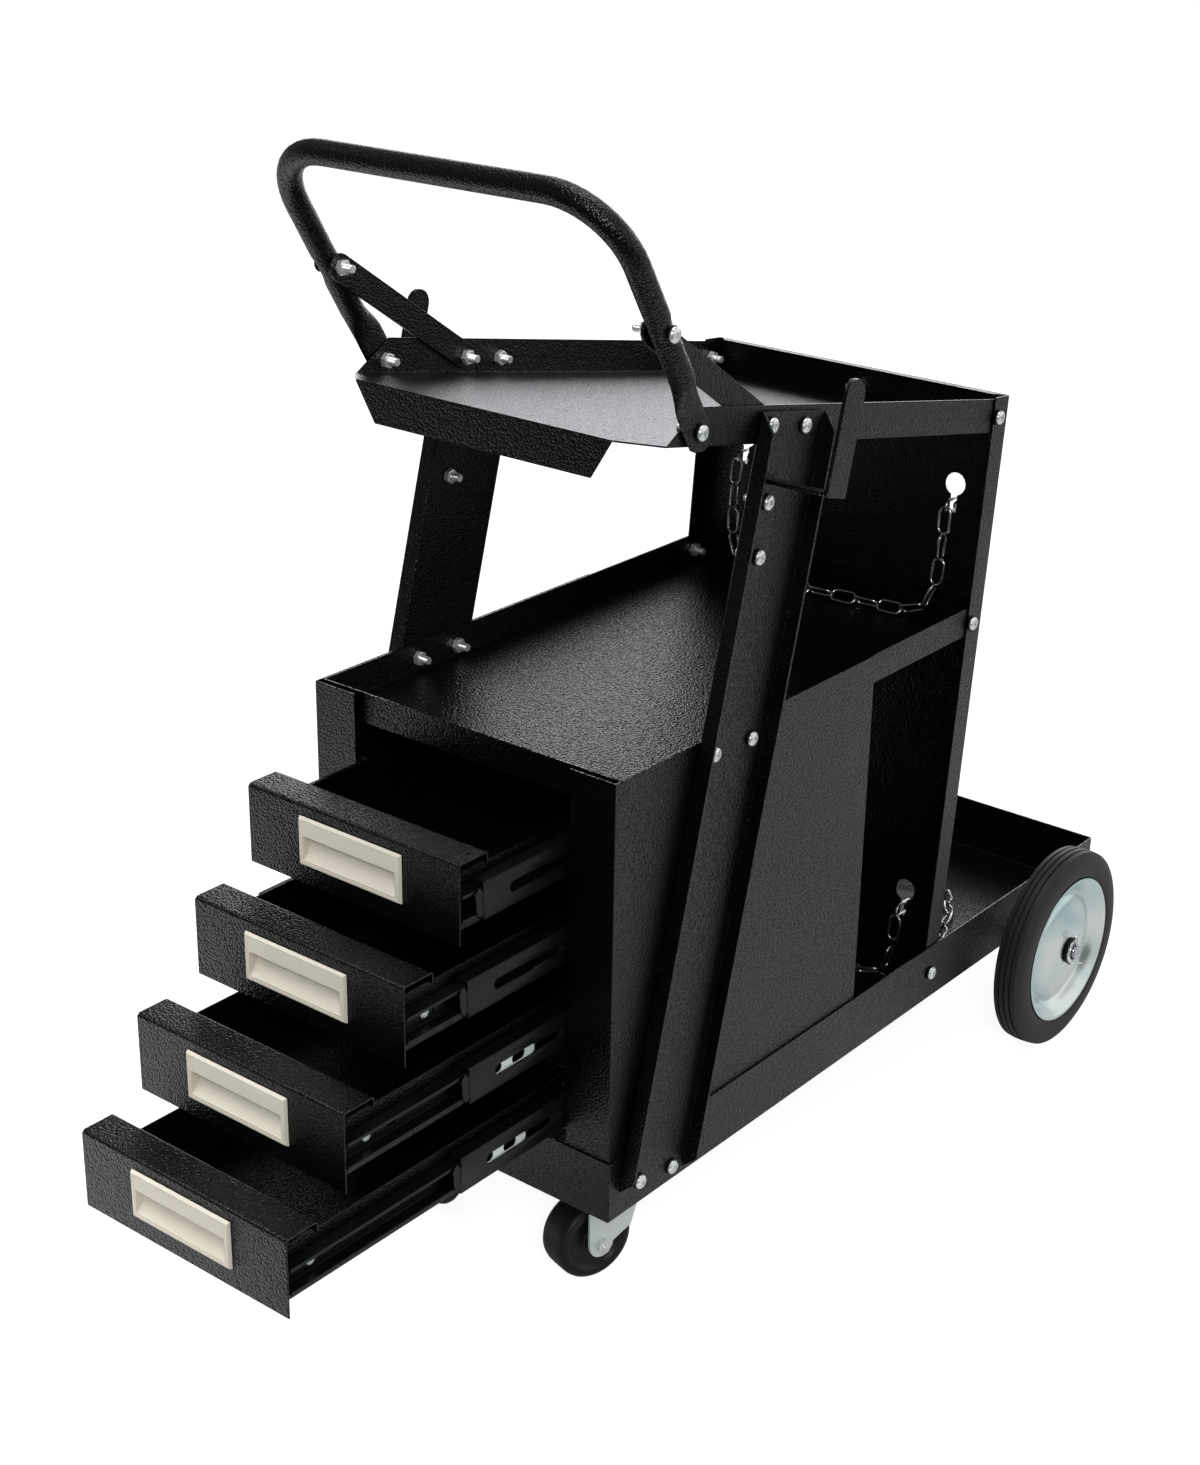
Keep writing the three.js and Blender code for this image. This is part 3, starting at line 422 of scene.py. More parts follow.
link = added(
    bpy.ops.mesh.primitive_torus_add, major_radius=link_bend, minor_radius=link_wire / 2,
    major_segments=link_rings, minor_segments=8, rotation=(0, 0, math.pi / link_rings),
)
open_mesh(link)
for way in (1, -1):
    pick("verts", lambda v: v.co.x * way > 0)
    bpy.ops.transform.translate(value=(way * link_stretch, 0, 0))
close_mesh()
bpy.ops.object.shade_smooth()
print("link:", len(link.data.polygons), "faces")

# %% Joints along a route
curve_steps = 2000
least_gap = 1e-4


def knot_gap(a, b):
    return max((b - a).length_squared ** 0.25, least_gap)


def on_curve(points, t):
    """A point of the centripetal curve through the points, at t from 0 to 1."""
    spans = len(points) - 1
    first = min(int(t * spans), spans - 1)
    share = t * spans - first
    p1, p2 = points[first], points[first + 1]
    p0 = points[first - 1] if first > 0 else p1 * 2 - p2
    p3 = points[first + 2] if first + 2 < len(points) else p2 * 2 - p1
    d0, d1, d2 = knot_gap(p0, p1), knot_gap(p1, p2), knot_gap(p2, p3)
    leave = ((p1 - p0) / d0 - (p2 - p0) / (d0 + d1) + (p2 - p1) / d1) * d1
    arrive = ((p2 - p1) / d1 - (p3 - p1) / (d1 + d2) + (p3 - p2) / d2) * d1
    square = (p2 - p1) * 3 - leave * 2 - arrive
    cube = (p1 - p2) * 2 + leave + arrive
    return p1 + leave * share + square * share ** 2 + cube * share ** 3


def chain_joints(route):
    """Evenly spaced joints along a route, with an odd number of links between them."""
    points = [place(*spot) for spot in route]
    along = [on_curve(points, i / curve_steps) for i in range(curve_steps + 1)]
    lengths = [0.0]
    for a, b in zip(along, along[1:]):
        lengths.append(lengths[-1] + (b - a).length)
    links = 2 * round((lengths[-1] / link_pitch - 1) / 2) + 1
    joints = []
    step = 0
    for i in range(links + 1):
        target = lengths[-1] * i / links
        while step + 1 < curve_steps and lengths[step + 1] < target:
            step += 1
        share = (target - lengths[step]) / (lengths[step + 1] - lengths[step])
        joints.append(on_curve(points, (step + share) / curve_steps))
    return joints


# %% Seats in the keyholes
rear_foot = 440
rear_lean = 0.0919
sheet = 1.2
keyhole_x = 101
keyhole_high = 427.6
keyhole_low = 82
keyhole_slot = 23
seat_gap = 0.3


def rear_face(height):
    """Where the front of the leaning rear panel is, in millimetres, at a height above the pan's underside."""
    return rear_foot + (height - pan_wall) * math.tan(rear_lean) - sheet / math.cos(rear_lean)


def keyhole_link(x, keyhole):
    """The front and the rear joint of the link that sits in a keyhole's slot."""
    height = keyhole - keyhole_slot + link_width / mm / 2 + seat_gap
    y = rear_face(height) + sheet / 2
    reach = link_pitch / mm / 2
    return (x, y - reach, height), (x, y + reach, height)


def dropped(spot):
    """One link's pitch below a joint."""
    x, y, height = spot
    return place(x, y, height - link_pitch / mm)


# %% Routes of the chains
upper_near_in, upper_near_out = keyhole_link(keyhole_x, keyhole_high)
upper_far_in, upper_far_out = keyhole_link(-keyhole_x, keyhole_high)
upper_route = [
    upper_near_in, (102, 459, 388), (101, 457, 362), (99, 453.5, 340), (90, 450, 326), (70, 448.5, 323),
    (44, 446.5, 322.8), (18, 444, 322.8), (-8, 440.5, 322.8), (-35, 439, 322.8), (-62, 442.5, 322.8),
    (-84, 448, 325), (-96, 453, 340), (-100, 457, 362), (-101, 459, 388), upper_far_in,
]
upper_span = chain_joints(upper_route)
upper_joints = [dropped(upper_near_out), place(*upper_near_out), *upper_span]
upper_joints += [place(*upper_far_out), dropped(upper_far_out)]

lower_near_in, lower_near_out = keyhole_link(keyhole_x, keyhole_low)
lower_far_in, lower_far_out = keyhole_link(-keyhole_x, keyhole_low)
lower_route = [
    lower_far_out, (-101, 455, 42), (-100.5, 457, 20), (-98, 470, 7.6), (-93, 500, 6.8), (-78, 545, 6.8),
    (-45, 585, 6.8), (0, 606, 6.8), (38, 602, 6.8), (62, 582, 6.8), (80, 556, 6.8), (93, 518, 6.8),
    (99, 480, 6.8), (101, 460, 16), (101, 455.5, 40), lower_near_out,
]
loose_route = [lower_near_in, (101, 427, 40), (100, 426, 18), (90, 422, 6.8), (70, 416, 6.8)]
lower_span = chain_joints(lower_route)
lower_joints = [dropped(lower_far_in), place(*lower_far_in), *lower_span, *chain_joints(loose_route)]
print("joints:", len(upper_joints), "and", len(lower_joints))

# %% Links between the joints
# How much of a link's way goes up or down: from here on it is steep, and up to here it lies
steep_link = 0.8
lying_link = 0.75


def link_matrix(start, end, roll):
    """The place of a link from one joint to the next, rolled about the way between them."""
    along = (end - start).normalized()
    level = Vector((0, 0, 1)) if abs(along.z) < steep_link else Vector((0, 1, 0))
    side = (level - along * level.dot(along)).normalized()
    side = Matrix.Rotation(roll, 3, along) @ side
    axes = Matrix((along, side, along.cross(side))).transposed().to_4x4()
    return Matrix.Translation((start + end) / 2) @ axes


def made_chain(name, node, joints, seated):
    """Links turned by quarters, of which the lying ones lean over unless a keyhole seats them."""
    links = []
    for i in range(len(joints) - 1):
        along = (joints[i + 1] - joints[i]).normalized()
        lying = abs(along.z) < lying_link and i not in seated
        roll = (i + 1) % 2 * math.pi / 2 + (math.pi / 4 if lying else 0)
        links.append(copied(link, name, link_matrix(joints[i], joints[i + 1], roll)))
    chain = join(links, name)
    wear(chain, chain_steel, "cart_frame")
    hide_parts(node)
    return chain


def chain_length(joints):
    return sum((b - a).length for a, b in zip(joints, joints[1:]))


upper_chain = made_chain("upper_chain_links", "upper_chain", upper_joints, (1, len(upper_span) + 1))
lower_chain = made_chain("lower_chain_links", "lower_chain", lower_joints, (1, len(lower_span) + 1))
bpy.data.objects.remove(link)
print("chains:", round(chain_length(upper_joints), 3), "m and", round(chain_length(lower_joints), 3), "m")

# %% [markdown]
# ## Folded sheet
# The panels, trays, legs and drawers are folded from flat sheet. Their measured solids have knife-sharp
# edges, and light shows at once that no press folds like that. They could be modelled again from planes with
# a Solidify, but the solids already have every hole and flange. So each one is copied, its triangles are
# merged back into whole faces, its folds get a bend radius, and its cut edges get a hair of rounding.

# %% Bending the folds
broad_face = 4 * mm
least_fold = math.radians(20)
flat_angle = math.radians(1)
cut_edge = 0.3 * mm
fold_shading = 40


def face_width(face):
    return face.calc_area() / max(edge.calc_length() for edge in face.edges)


def is_fold(edge, way):
    """A convex (1) or concave (-1) edge between two broad faces."""
    if len(edge.link_faces) != 2:
        return False
    if edge.calc_face_angle_signed() * way < least_fold:
        return False
    return all(face_width(face) > broad_face for face in edge.link_faces)


def round_edges(piece, width, least_angle):
    """Rounds every edge that turns by more than an angle in degrees."""
    only(piece)
    bpy.ops.object.modifier_add(type="BEVEL")
    rounding = piece.modifiers[-1]
    rounding.width = width
    rounding.segments = 2
    rounding.limit_method = "ANGLE"
    rounding.angle_limit = math.radians(least_angle)
    bpy.ops.object.modifier_apply(modifier=rounding.name)


def folded(node, finish, body, outer=1.6 * mm, inner=0.6 * mm):
    """A copy of a measured solid with bent folds and rounded cut edges, which stands for the solid."""
    piece = copied(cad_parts[node], node + "_folded", Matrix())
    open_mesh(piece)
    merged()
    bpy.ops.mesh.dissolve_limited(angle_limit=flat_angle)
    for way, radius in ((-1, inner), (1, outer)):
        if pick("edges", lambda edge: is_fold(edge, way)):
            bpy.ops.mesh.bevel(offset=radius, segments=3, clamp_overlap=True)
    close_mesh()
    round_edges(piece, cut_edge, fold_shading)
    dressed(piece, finish, body, fold_shading)
    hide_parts(node)


# %% Sheets, hangers, drawers and slides
SIDES = {"right": Matrix(), "left": Matrix.Scale(-1, 4, Vector((1, 0, 0)))}
DRAWERS = range(1, 5)
plain_sheets = ["base_pan", "middle_shelf", "rear_panel", "top_tray"]
for side in SIDES:
    plain_sheets += [f"{side}_{part}" for part in ("side_panel", "runner_panel", "leg", "handle_brace")]
for node in plain_sheets:
    folded(node, sheet_coat, "cart_frame")
for side in SIDES:
    folded(side + "_hanger", sheet_coat, "cart_frame", outer=5 * mm, inner=2.4 * mm)
for number in DRAWERS:
    drawer = f"drawer_{number}"
    for part in ("box", "front"):
        folded(f"{drawer}_{part}", sheet_coat, drawer, outer=2.4 * mm, inner=1.2 * mm)
    for side in SIDES:
        for part, body in (("middle", drawer + "_stage"), ("member", drawer)):
            node = f"{side}_slide_{number}_{part}"
            folded(node, slide_black, body, outer=1 * mm, inner=0.4 * mm)

# %% [markdown]
# ## Handle
# The handle is one steel tube, bent twice, whose ends are pressed flat, cut to a point and bolted outside
# the tray's walls. A curve with a round bevel would give the tube but not the pressed feet. So half of it is
# drawn out of a circle: up the side, round the bend with Spin, across to the middle, and down again through
# shrinking rings to the flat foot. A Mirror makes the other half, and the whole is then leaned forward about
# its foot bolts.

# %% Half the tube
tube_radius = 8.7 * mm
tube_x = 143.8 * mm
tube_sides = 20
tube_start = 46 * mm
handle_grip = 188 * mm
handle_bend = 50 * mm
brace_up = 85.5 * mm
# The brace's bolt pinches the tube a little between a near and a far ring
pinch = 0.86
pinch_near = 5 * mm
pinch_far = 13 * mm


def extruded(move):
    bpy.ops.mesh.extrude_region_move(TRANSFORM_OT_translate={"value": move})


def resized(scale, centre):
    bpy.ops.transform.resize(value=scale, center_override=centre)


handle = added(
    bpy.ops.mesh.primitive_circle_add, vertices=tube_sides, radius=tube_radius,
    location=(tube_x, 0, tube_start),
)
handle.name = "handle_tube"
open_mesh(handle)
bpy.ops.mesh.select_all(action="SELECT")
level = tube_start
for stop, squeeze in (
    (brace_up - pinch_far, 1), (brace_up - pinch_near, pinch), (brace_up + pinch_near, 1),
    (brace_up + pinch_far, 1 / pinch), (handle_grip - handle_bend, 1),
):
    extruded((0, 0, stop - level))
    resized((squeeze, 1, 1), (tube_x - tube_radius, 0, stop))
    level = stop
bend_centre = (tube_x - handle_bend, 0, handle_grip - handle_bend)
bpy.ops.mesh.spin(steps=12, angle=math.pi / 2, center=bend_centre, axis=(0, 1, 0))
extruded((handle_bend - tube_x, 0, 0))
close_mesh()
print("half a tube:", len(handle.data.polygons), "faces")

# %% The flat foot
foot_x = 139.3 * mm
foot_thick = 4 * mm
foot_wide = 25 * mm
flat = foot_thick / 2 / tube_radius
spread = foot_wide / 2 / tube_radius
# Each ring of the foot: its height over the foot's bolt, and how round it still is
FOOT_RINGS = [(40, 0.8), (34, 0.45), (28, 0.16), (22, 0)]
# Each ring of the point: its height over the foot's bolt, and how much narrower it is than the last
POINT_RINGS = [(-5, 1), (-10, 0.72), (-14, 0.45)]

open_mesh(handle)
pick("verts", lambda v: abs(v.co.z - tube_start) < merge_gap)
level = tube_start
width_now, thick_now, x_now = 1.0, 1.0, tube_x
for stop, roundness in FOOT_RINGS:
    width = spread + (1 - spread) * roundness
    thick = flat + (1 - flat) * roundness
    x = foot_x + (tube_x - foot_x) * roundness
    extruded((x - x_now, 0, stop * mm - level))
    resized((thick / thick_now, width / width_now, 1), (x, 0, stop * mm))
    level, width_now, thick_now, x_now = stop * mm, width, thick, x
for stop, narrow in POINT_RINGS:
    extruded((0, 0, stop * mm - level))
    resized((1, narrow, 1), (foot_x, 0, stop * mm))
    level = stop * mm
bpy.ops.mesh.edge_face_add()
close_mesh()
print("with its foot:", len(handle.data.polygons), "faces")

# %% The whole handle
handle_bolt = place(0, 78, 561)
handle_lean = 0.5475
tube_shading = 50

only(handle)
bpy.ops.object.modifier_add(type="MIRROR")
handle.modifiers[-1].use_clip = True
bpy.ops.object.modifier_apply(modifier=handle.modifiers[-1].name)
open_mesh(handle)
merged()
bpy.ops.mesh.normals_make_consistent(inside=False)
close_mesh()
handle.data.transform(Matrix.Translation(handle_bolt) @ Matrix.Rotation(handle_lean, 4, "X"))
dressed(handle, tube_coat, "cart_frame", tube_shading)
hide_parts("handle")
print("handle's top:", round(max(v.co.z for v in handle.data.vertices), 4), "m")

# %% [markdown]
# ## Turned pieces
# A wheel, a washer or a bolt is a section carried round an axis. The Screw modifier could carry it, but Spin
# works on the open mesh. The section is drawn as by hand: a plane is merged to one vertex, the vertex is
# extruded from corner to corner, and an edge closes the outline. Spin then carries it once round. The first
# and the last section lie on each other, so they are merged and the faces are turned outwards.

# %% Turning
ORIGIN = (0, 0, 0)


def turned(name, section, centre, steps):
    """A closed section of (x, radius) points in millimetres, spun about the X axis through a point."""
    corners = [Vector(centre) + Vector((x * mm, 0, radius * mm)) for x, radius in section]
    piece = added(bpy.ops.mesh.primitive_plane_add, size=mm, location=corners[0])
    piece.name = name
    piece.data.name = name
    open_mesh(piece)
    bpy.ops.mesh.select_mode(type="VERT")
    bpy.ops.mesh.select_all(action="SELECT")
    bpy.ops.mesh.merge(type="CENTER")
    for before, after in zip(corners, corners[1:]):
        bpy.ops.mesh.extrude_vertices_move(TRANSFORM_OT_translate={"value": after - before})
    pick("verts", lambda v: len(v.link_edges) == 1)
    bpy.ops.mesh.edge_face_add()
    bpy.ops.mesh.select_all(action="SELECT")
    bpy.ops.mesh.spin(steps=steps, angle=2 * math.pi, center=centre, axis=(1, 0, 0))
    merged()
    bpy.ops.mesh.normals_make_consistent(inside=False)
    close_mesh()
    return piece


def both_sides(name, right, finish, bodies, node):
    """Names a right-hand piece, mirrors it for the left, and lets each stand for its node."""
    left = copied(right, "left_" + name, SIDES["left"])
    right.name = "right_" + name
    for side, piece in (("right", right), ("left", left)):
        dressed(piece, finish, bodies.format(side=side))
        if node:
            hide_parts(f"{side}_{node}")
    print(name + ":", len(right.data.polygons), "faces each")


# %% [markdown]
# ## Rear wheels
# Each rear wheel is a solid rubber tyre on a dished, zinc plated disc. The tread could be grooved by cutting
# rings out of a tyre, but turning gives its grooves with the rest: the section follows a shallow crown with
# three grooves in it. The disc is one pressed sheet: a hub, a cone that falls away to a round well, a sloping
# wall and a rolled rim. A spacer, a washer and a bent split pin keep it on the axle. The spacer's black
# is painted shade: it stands for the shadowed side of the washers.

# %% Tyres
wheel_centre = centre_of("right_tyre")
tyre_half = 14
tyre_radius = 89
tyre_bead = 66
crown_drop = 1.8
shoulder = (11.2, 85.6)
tread_half = 10
groove_half = 0.9
groove_depth = 1.7
groove_places = (-5.4, 0, 5.4)


def crown(x):
    return tyre_radius - crown_drop * (x / tyre_half) ** 2


def other_half(section):
    """The same section points on the other side, in the order that carries the outline on."""
    return [(-x, radius) for x, radius in reversed(section)]


tread = []
for groove in groove_places:
    for offset, depth in ((-1, 0), (-0.6, 1), (0.6, 1), (1, 0)):
        x = groove + offset * groove_half
        tread.append((x, crown(x) - depth * groove_depth))
near_wall = [
    (tread_half, crown(tread_half)), shoulder, (12.6, 83), (13.6, 79), (tyre_half, 74), (13.9, 70),
    (13.2, 67.4), (12, tyre_bead),
]
tyre = turned("tyre_rubber_ring", other_half(near_wall) + tread + near_wall, wheel_centre, steps=96)
both_sides("tyre_ribbed", tyre, tyre_rubber, "{side}_rear_wheel", "tyre")

# %% Discs
disc_section = [
    (15, 6.3), (15, 9.6), (14.6, 10.2), (14.2, 12.5), (13.4, 17), (11.8, 26), (9.9, 35), (8.2, 41.5),
    (6.6, 45.4), (5, 47.6), (4, 49.2), (3.9, 50.4), (4.8, 51.8), (7, 53.8), (9.6, 56.6), (11.6, 59.6),
    (12.6, 61.6), (13.7, 62.8), (14.1, 64.2), (13.7, 65.4), (12.6, 65.7), (-12.4, 65.7), (-13, 65),
    (-12.4, 64.4), (11.6, 64.2), (11, 62.2), (9.8, 60.2), (7.8, 57.4), (5, 54.8), (2.9, 52.6), (2, 50.4),
    (2.2, 48.4), (3.2, 46.4), (4.8, 44.4), (6.4, 40.8), (8.1, 34.4), (10, 25.6), (11.6, 17.4), (11.8, 12),
    (10.6, 11), (-14.4, 10.4), (-15, 9.6), (-15, 6.3),
]
disc = turned("disc_pressing", disc_section, wheel_centre, steps=96)
both_sides("wheel_disc_pressed", disc, disc_zinc, "{side}_rear_wheel", "wheel_disc")

# %% Split pins
pin_x = wheel_centre.x + 20.6 * mm
pin_wire = 1.1 * mm
leg_wire = pin_wire * 0.55
eye_wire = pin_wire * 0.6
# The way of a pin's leg in millimetres: apart from the other leg, aside, and up from the axle
PIN_LEG = [(0, 0, 12), (0, 0, -8), (1.5, 2, -11), (3, 6, -12)]
eye_radius = 3 * mm
eye_height = 12 * mm + 2.6 * mm
eye_steps = 12
eye_start = -70
eye_sweep = 320


def wire(name, points, radius):
    """A bent wire: a curve through points with a round bevel, made a mesh."""
    line = bpy.data.curves.new(name, "CURVE")
    line.dimensions = "3D"
    line.bevel_depth = radius
    line.bevel_resolution = 2
    line.use_fill_caps = True
    spline = line.splines.new("POLY")
    spline.points.add(len(points) - 1)
    for spot, point in zip(spline.points, points):
        spot.co = (*point, 1)
    piece = bpy.data.objects.new(name, line)
    bpy.context.scene.collection.objects.link(piece)
    only(piece)
    bpy.ops.object.convert(target="MESH")
    return bpy.context.object


def split_pin():
    """The two bent legs and the eye of a split pin through the axle's end."""
    wires = []
    for way in (1, -1):
        leg = []
        for apart, aside, up in PIN_LEG:
            x = pin_x + way * leg_wire + way * apart * mm
            leg.append(Vector((x, wheel_centre.y + way * aside * mm, wheel_centre.z + up * mm)))
        wires.append(wire("pin_leg", leg, leg_wire))
    eye = []
    for step in range(eye_steps + 1):
        angle = math.radians(eye_start + eye_sweep * step / eye_steps)
        y = wheel_centre.y + math.cos(angle) * eye_radius
        eye.append(Vector((pin_x, y, wheel_centre.z + eye_height + math.sin(angle) * eye_radius)))
    wires.append(wire("pin_eye", eye, eye_wire))
    return wires


# %% Spacers, washers and the axle
spacer_section = [(15.3, 6.3), (15.4, 11.6), (15.8, 12), (17.3, 12), (17.6, 11.6), (17.6, 6.3)]
washer_section = [(17.7, 7.6), (17.8, 10.8), (18, 11), (18.8, 11), (19.1, 10.7), (19.1, 7.6)]
# The spacer's black finish is painted shade, for the shadowed side of the washers
spacer = turned("spacer", spacer_section, wheel_centre, steps=40)
both_sides("wheel_spacer", spacer, slide_black, "cart_frame", None)
axle_washer = turned("washer", washer_section, wheel_centre, steps=40)
retainer = join([axle_washer, *split_pin()], "retainer")
both_sides("wheel_washer_and_pin", retainer, bolt_zinc, "cart_frame", "wheel_retainer")
folded("rear_axle", chain_steel, "cart_frame")

# %% [markdown]
# ## Casters
# A caster has a top plate under the pan, a ring of balls, a fork that swivels on them and a rubber wheel on a
# bolt. The wheel is turned as the rear ones are, with a rounded tread and a recess round its hub. The plate
# and the fork are pressings, so their measured solids only need their folds and edges rounded.

# %% Caster wheels
caster_turn = -0.28
caster_place = Matrix.Translation(centre_of("right_caster_axle")) @ Matrix.Rotation(caster_turn, 4, "Z")
caster_half = [
    (15, 3.3), (15, 7.6), (14.6, 8.6), (11.6, 9.4), (10.8, 10.4), (10.8, 16), (11.6, 21), (13.4, 22.8),
    (14.4, 24), (14.9, 25.8), (14.6, 28), (13.4, 30.2), (11.4, 31.7), (8.6, 32.4), (4, 32.5),
]
caster = turned("caster", caster_half + other_half(caster_half), ORIGIN, steps=64)
caster.data.transform(caster_place)
both_sides("caster_tread", caster, caster_rubber, "{side}_caster_roller", "caster_wheel")
for side in SIDES:
    folded(side + "_caster_plate", fork_zinc, "cart_frame", outer=0.8 * mm, inner=0.5 * mm)
    folded(side + "_caster_fork", fork_zinc, f"{side}_caster_swivel", outer=1.2 * mm, inner=0.8 * mm)

# %% [markdown]
# ## Drawer pulls
# Each front carries an ivory plastic pull that is let into it: a raised frame with sloping sides, a band to
# hook the fingers behind and a scooped pocket under it. A Boolean could sink the pocket, but its scoop is
# easier to shape ring by ring. It starts as a cube. Its front is drawn in, inset and sunk, Bisect parts the
# band from the pocket, and the pocket is pushed back with its floor tilted and its top tucked under.

# %% One pull's frame
pull_low, pull_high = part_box("drawer_1_pull")
front_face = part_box("drawer_1_front")[0].y
pull_middle = centre_of("drawer_1_pull")
pull_wide = pull_high.x - pull_low.x
pull_tall = pull_high.z - pull_low.z
pull_proud = front_face - pull_low.y
pull_back = pull_high.y - front_face
pull_rim = 5 * mm
pull_clear = 0.6 * mm
pull_chamfer = 1.2 * mm
frame_wide = 2 * mm
# The panel inside the frame is set in by two narrow steps, the first back and the second forward
step_wide = 0.35 * mm
panel_steps = (0.4 * mm, -0.3 * mm)
mouth_top = pull_middle.z + 5.2 * mm

pull = added(
    bpy.ops.mesh.primitive_cube_add, stretch=(pull_wide, pull_proud - pull_clear, pull_tall), size=1,
    location=(0, front_face - pull_proud / 2, pull_middle.z),
)
pull.name = "pull"
open_mesh(pull)
pick("faces", lambda face: face.normal.y > square_on)
bpy.ops.mesh.inset(thickness=pull_rim)
extruded((0, pull_back, 0))
pick("faces", lambda face: face.normal.y < -square_on)
drawn_in = (1 - 2 * pull_chamfer / pull_wide, 1, 1 - 2 * pull_chamfer / pull_tall)
resized(drawn_in, (0, pull_low.y, pull_middle.z))
bpy.ops.mesh.inset(thickness=frame_wide)
for step_in in panel_steps:
    bpy.ops.mesh.inset(thickness=step_wide)
    bpy.ops.transform.translate(value=(0, step_in, 0))
panel_low = min(v.co.z for v in bmesh.from_edit_mesh(pull.data).verts if v.select)
bpy.ops.mesh.bisect(plane_co=(0, 0, mouth_top), plane_no=(0, 0, 1))
close_mesh()
print("pull's frame:", len(pull.data.polygons), "faces")

# %% One pull's scooped pocket
mouth_area = 1e-3
mouth_rim = 0.8 * mm
pull_edge = 0.4 * mm
pull_rounding = 35
pull_shading = 60
# Each step of the scoop: how far its upper edge goes back and up, and its lower edge
SCOOP = [((1.2, 0), (0.5, 0.4)), ((4, 1.5), (2, 2.6)), ((4.3, 1.5), (4, 6))]


def is_mouth(face):
    """The large front face below the band."""
    centre = face.calc_center_median()
    inside = panel_low < centre.z < mouth_top and abs(centre.x) < mm
    return inside and face.normal.y < -square_on and face.calc_area() > mouth_area


open_mesh(pull)
pick("faces", is_mouth)
bpy.ops.mesh.inset(thickness=mouth_rim)
for upper, lower in SCOOP:
    extruded((0, 0, 0))
    corners = [v for v in bmesh.from_edit_mesh(pull.data).verts if v.select]
    ring_middle = sum(v.co.z for v in corners) / len(corners)
    ring = {v.index for v in corners}
    top = {v.index for v in corners if v.co.z > ring_middle}
    for edge_verts, (back, up) in ((top, upper), (ring - top, lower)):
        pick("verts", lambda v: v.index in edge_verts)
        bpy.ops.transform.translate(value=(0, back * mm, up * mm))
    pick("verts", lambda v: v.index in ring)
close_mesh()
round_edges(pull, pull_edge, pull_rounding)
finish_mesh(pull, pull_shading)

# %% Four pulls
for number in DRAWERS:
    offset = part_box(f"drawer_{number}_pull")[0] - pull_low
    twin = copied(pull, f"drawer_{number}_pull_scooped", Matrix.Translation(offset))
    wear(twin, ivory, f"drawer_{number}")
    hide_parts(f"drawer_{number}_pull")
print("pulls:", len(pull.data.polygons), "faces each")
bpy.data.objects.remove(pull)

# %% [markdown]
# ## Bolts and nuts
# The cart is held together by zinc plated pan head bolts with a cross recess, each on a thin black ring,
# and their nuts and thread ends show inside the trays. A head, a black ring and a nut are each modelled
# once, at the origin along X, and copies are set on the faces that they clamp. The recess could be inset,
# but two crossed bars that cut it with a Boolean leave it as a punch does.

# %% One head
axis_hole = 0.4 * mm
head_section = [
    (0, 0.2), (0, 5.1), (0.4, 5.4), (1.2, 5.3), (1.9, 4.7), (2.4, 3.6), (2.7, 2.2), (2.8, 0.9), (2.8, 0.2),
]
recess_deep = 4 * mm
recess_long = 6.2 * mm
recess_wide = 1.8 * mm
recess_middle = 3.2 * mm
recess_taper = 0.55


def close_ends(piece):
    """Takes the thin hole along the axis out of a turned piece and closes its two ends."""
    open_mesh(piece)
    pick("verts", lambda v: math.hypot(v.co.y, v.co.z) < axis_hole)
    bpy.ops.mesh.delete(type="VERT")
    bpy.ops.mesh.select_all(action="SELECT")
    bpy.ops.mesh.fill_holes(sides=0)
    bpy.ops.mesh.select_all(action="SELECT")
    bpy.ops.mesh.normals_make_consistent(inside=False)
    close_mesh()


def block(spot, size):
    return added(bpy.ops.mesh.primitive_cube_add, stretch=size, size=1, location=spot)


def cut(piece, cutter):
    """Cuts one object out of another and removes the cutter."""
    only(piece)
    bpy.ops.object.modifier_add(type="BOOLEAN")
    piece.modifiers[-1].object = cutter
    piece.modifiers[-1].operation = "DIFFERENCE"
    bpy.ops.object.modifier_apply(modifier=piece.modifiers[-1].name)
    bpy.data.objects.remove(cutter)


head = turned("head", head_section, ORIGIN, steps=32)
close_ends(head)
for cross in ((recess_long, recess_wide), (recess_wide, recess_long)):
    bar = block((recess_middle, 0, 0), (recess_deep, *cross))
    open_mesh(bar)
    pick("faces", lambda face: face.normal.x < -square_on)
    resized((1, recess_taper, recess_taper), (recess_middle - recess_deep / 2, 0, 0))
    close_mesh()
    cut(head, bar)
print("head:", len(head.data.polygons), "faces")

# %% One nut with its thread end, and one black ring
nut_radius = 5.77 * mm
nut_thick = 4.8 * mm
nut_rim = 0.9 * mm
nut_corner = 5.5 * mm
nut_chamfer = 0.84
thread_turns = 7
thread_pitch = 0.95
crest_start = 4.8
root_start = 5.2
head_ring_thick = 1.6
head_ring_edge = 0.3

nut = added(bpy.ops.mesh.primitive_cylinder_add, vertices=6, radius=nut_radius, depth=nut_thick)
open_mesh(nut)
pick("faces", lambda face: abs(face.normal.z) > square_on)
bpy.ops.mesh.inset(thickness=nut_rim)
pick("verts", lambda v: math.hypot(v.co.x, v.co.y) > nut_corner)
resized((1, 1, nut_chamfer), ORIGIN)
close_mesh()
nut.data.transform(Matrix.Translation((nut_thick / 2, 0, 0)) @ Matrix.Rotation(math.pi / 2, 4, "Y"))
plain_nut = copied(nut, "plain_nut", Matrix())
thread = [(4, 0.3), (4, 2.9)]
for turn in range(thread_turns):
    thread += [(crest_start + turn * thread_pitch, 2.95), (root_start + turn * thread_pitch, 2.6)]
thread += [(11.6, 2.9), (12, 2.4), (12, 0.3)]
stud = turned("stud", thread, ORIGIN, steps=24)
close_ends(stud)
nut = join([nut, stud], "nut")
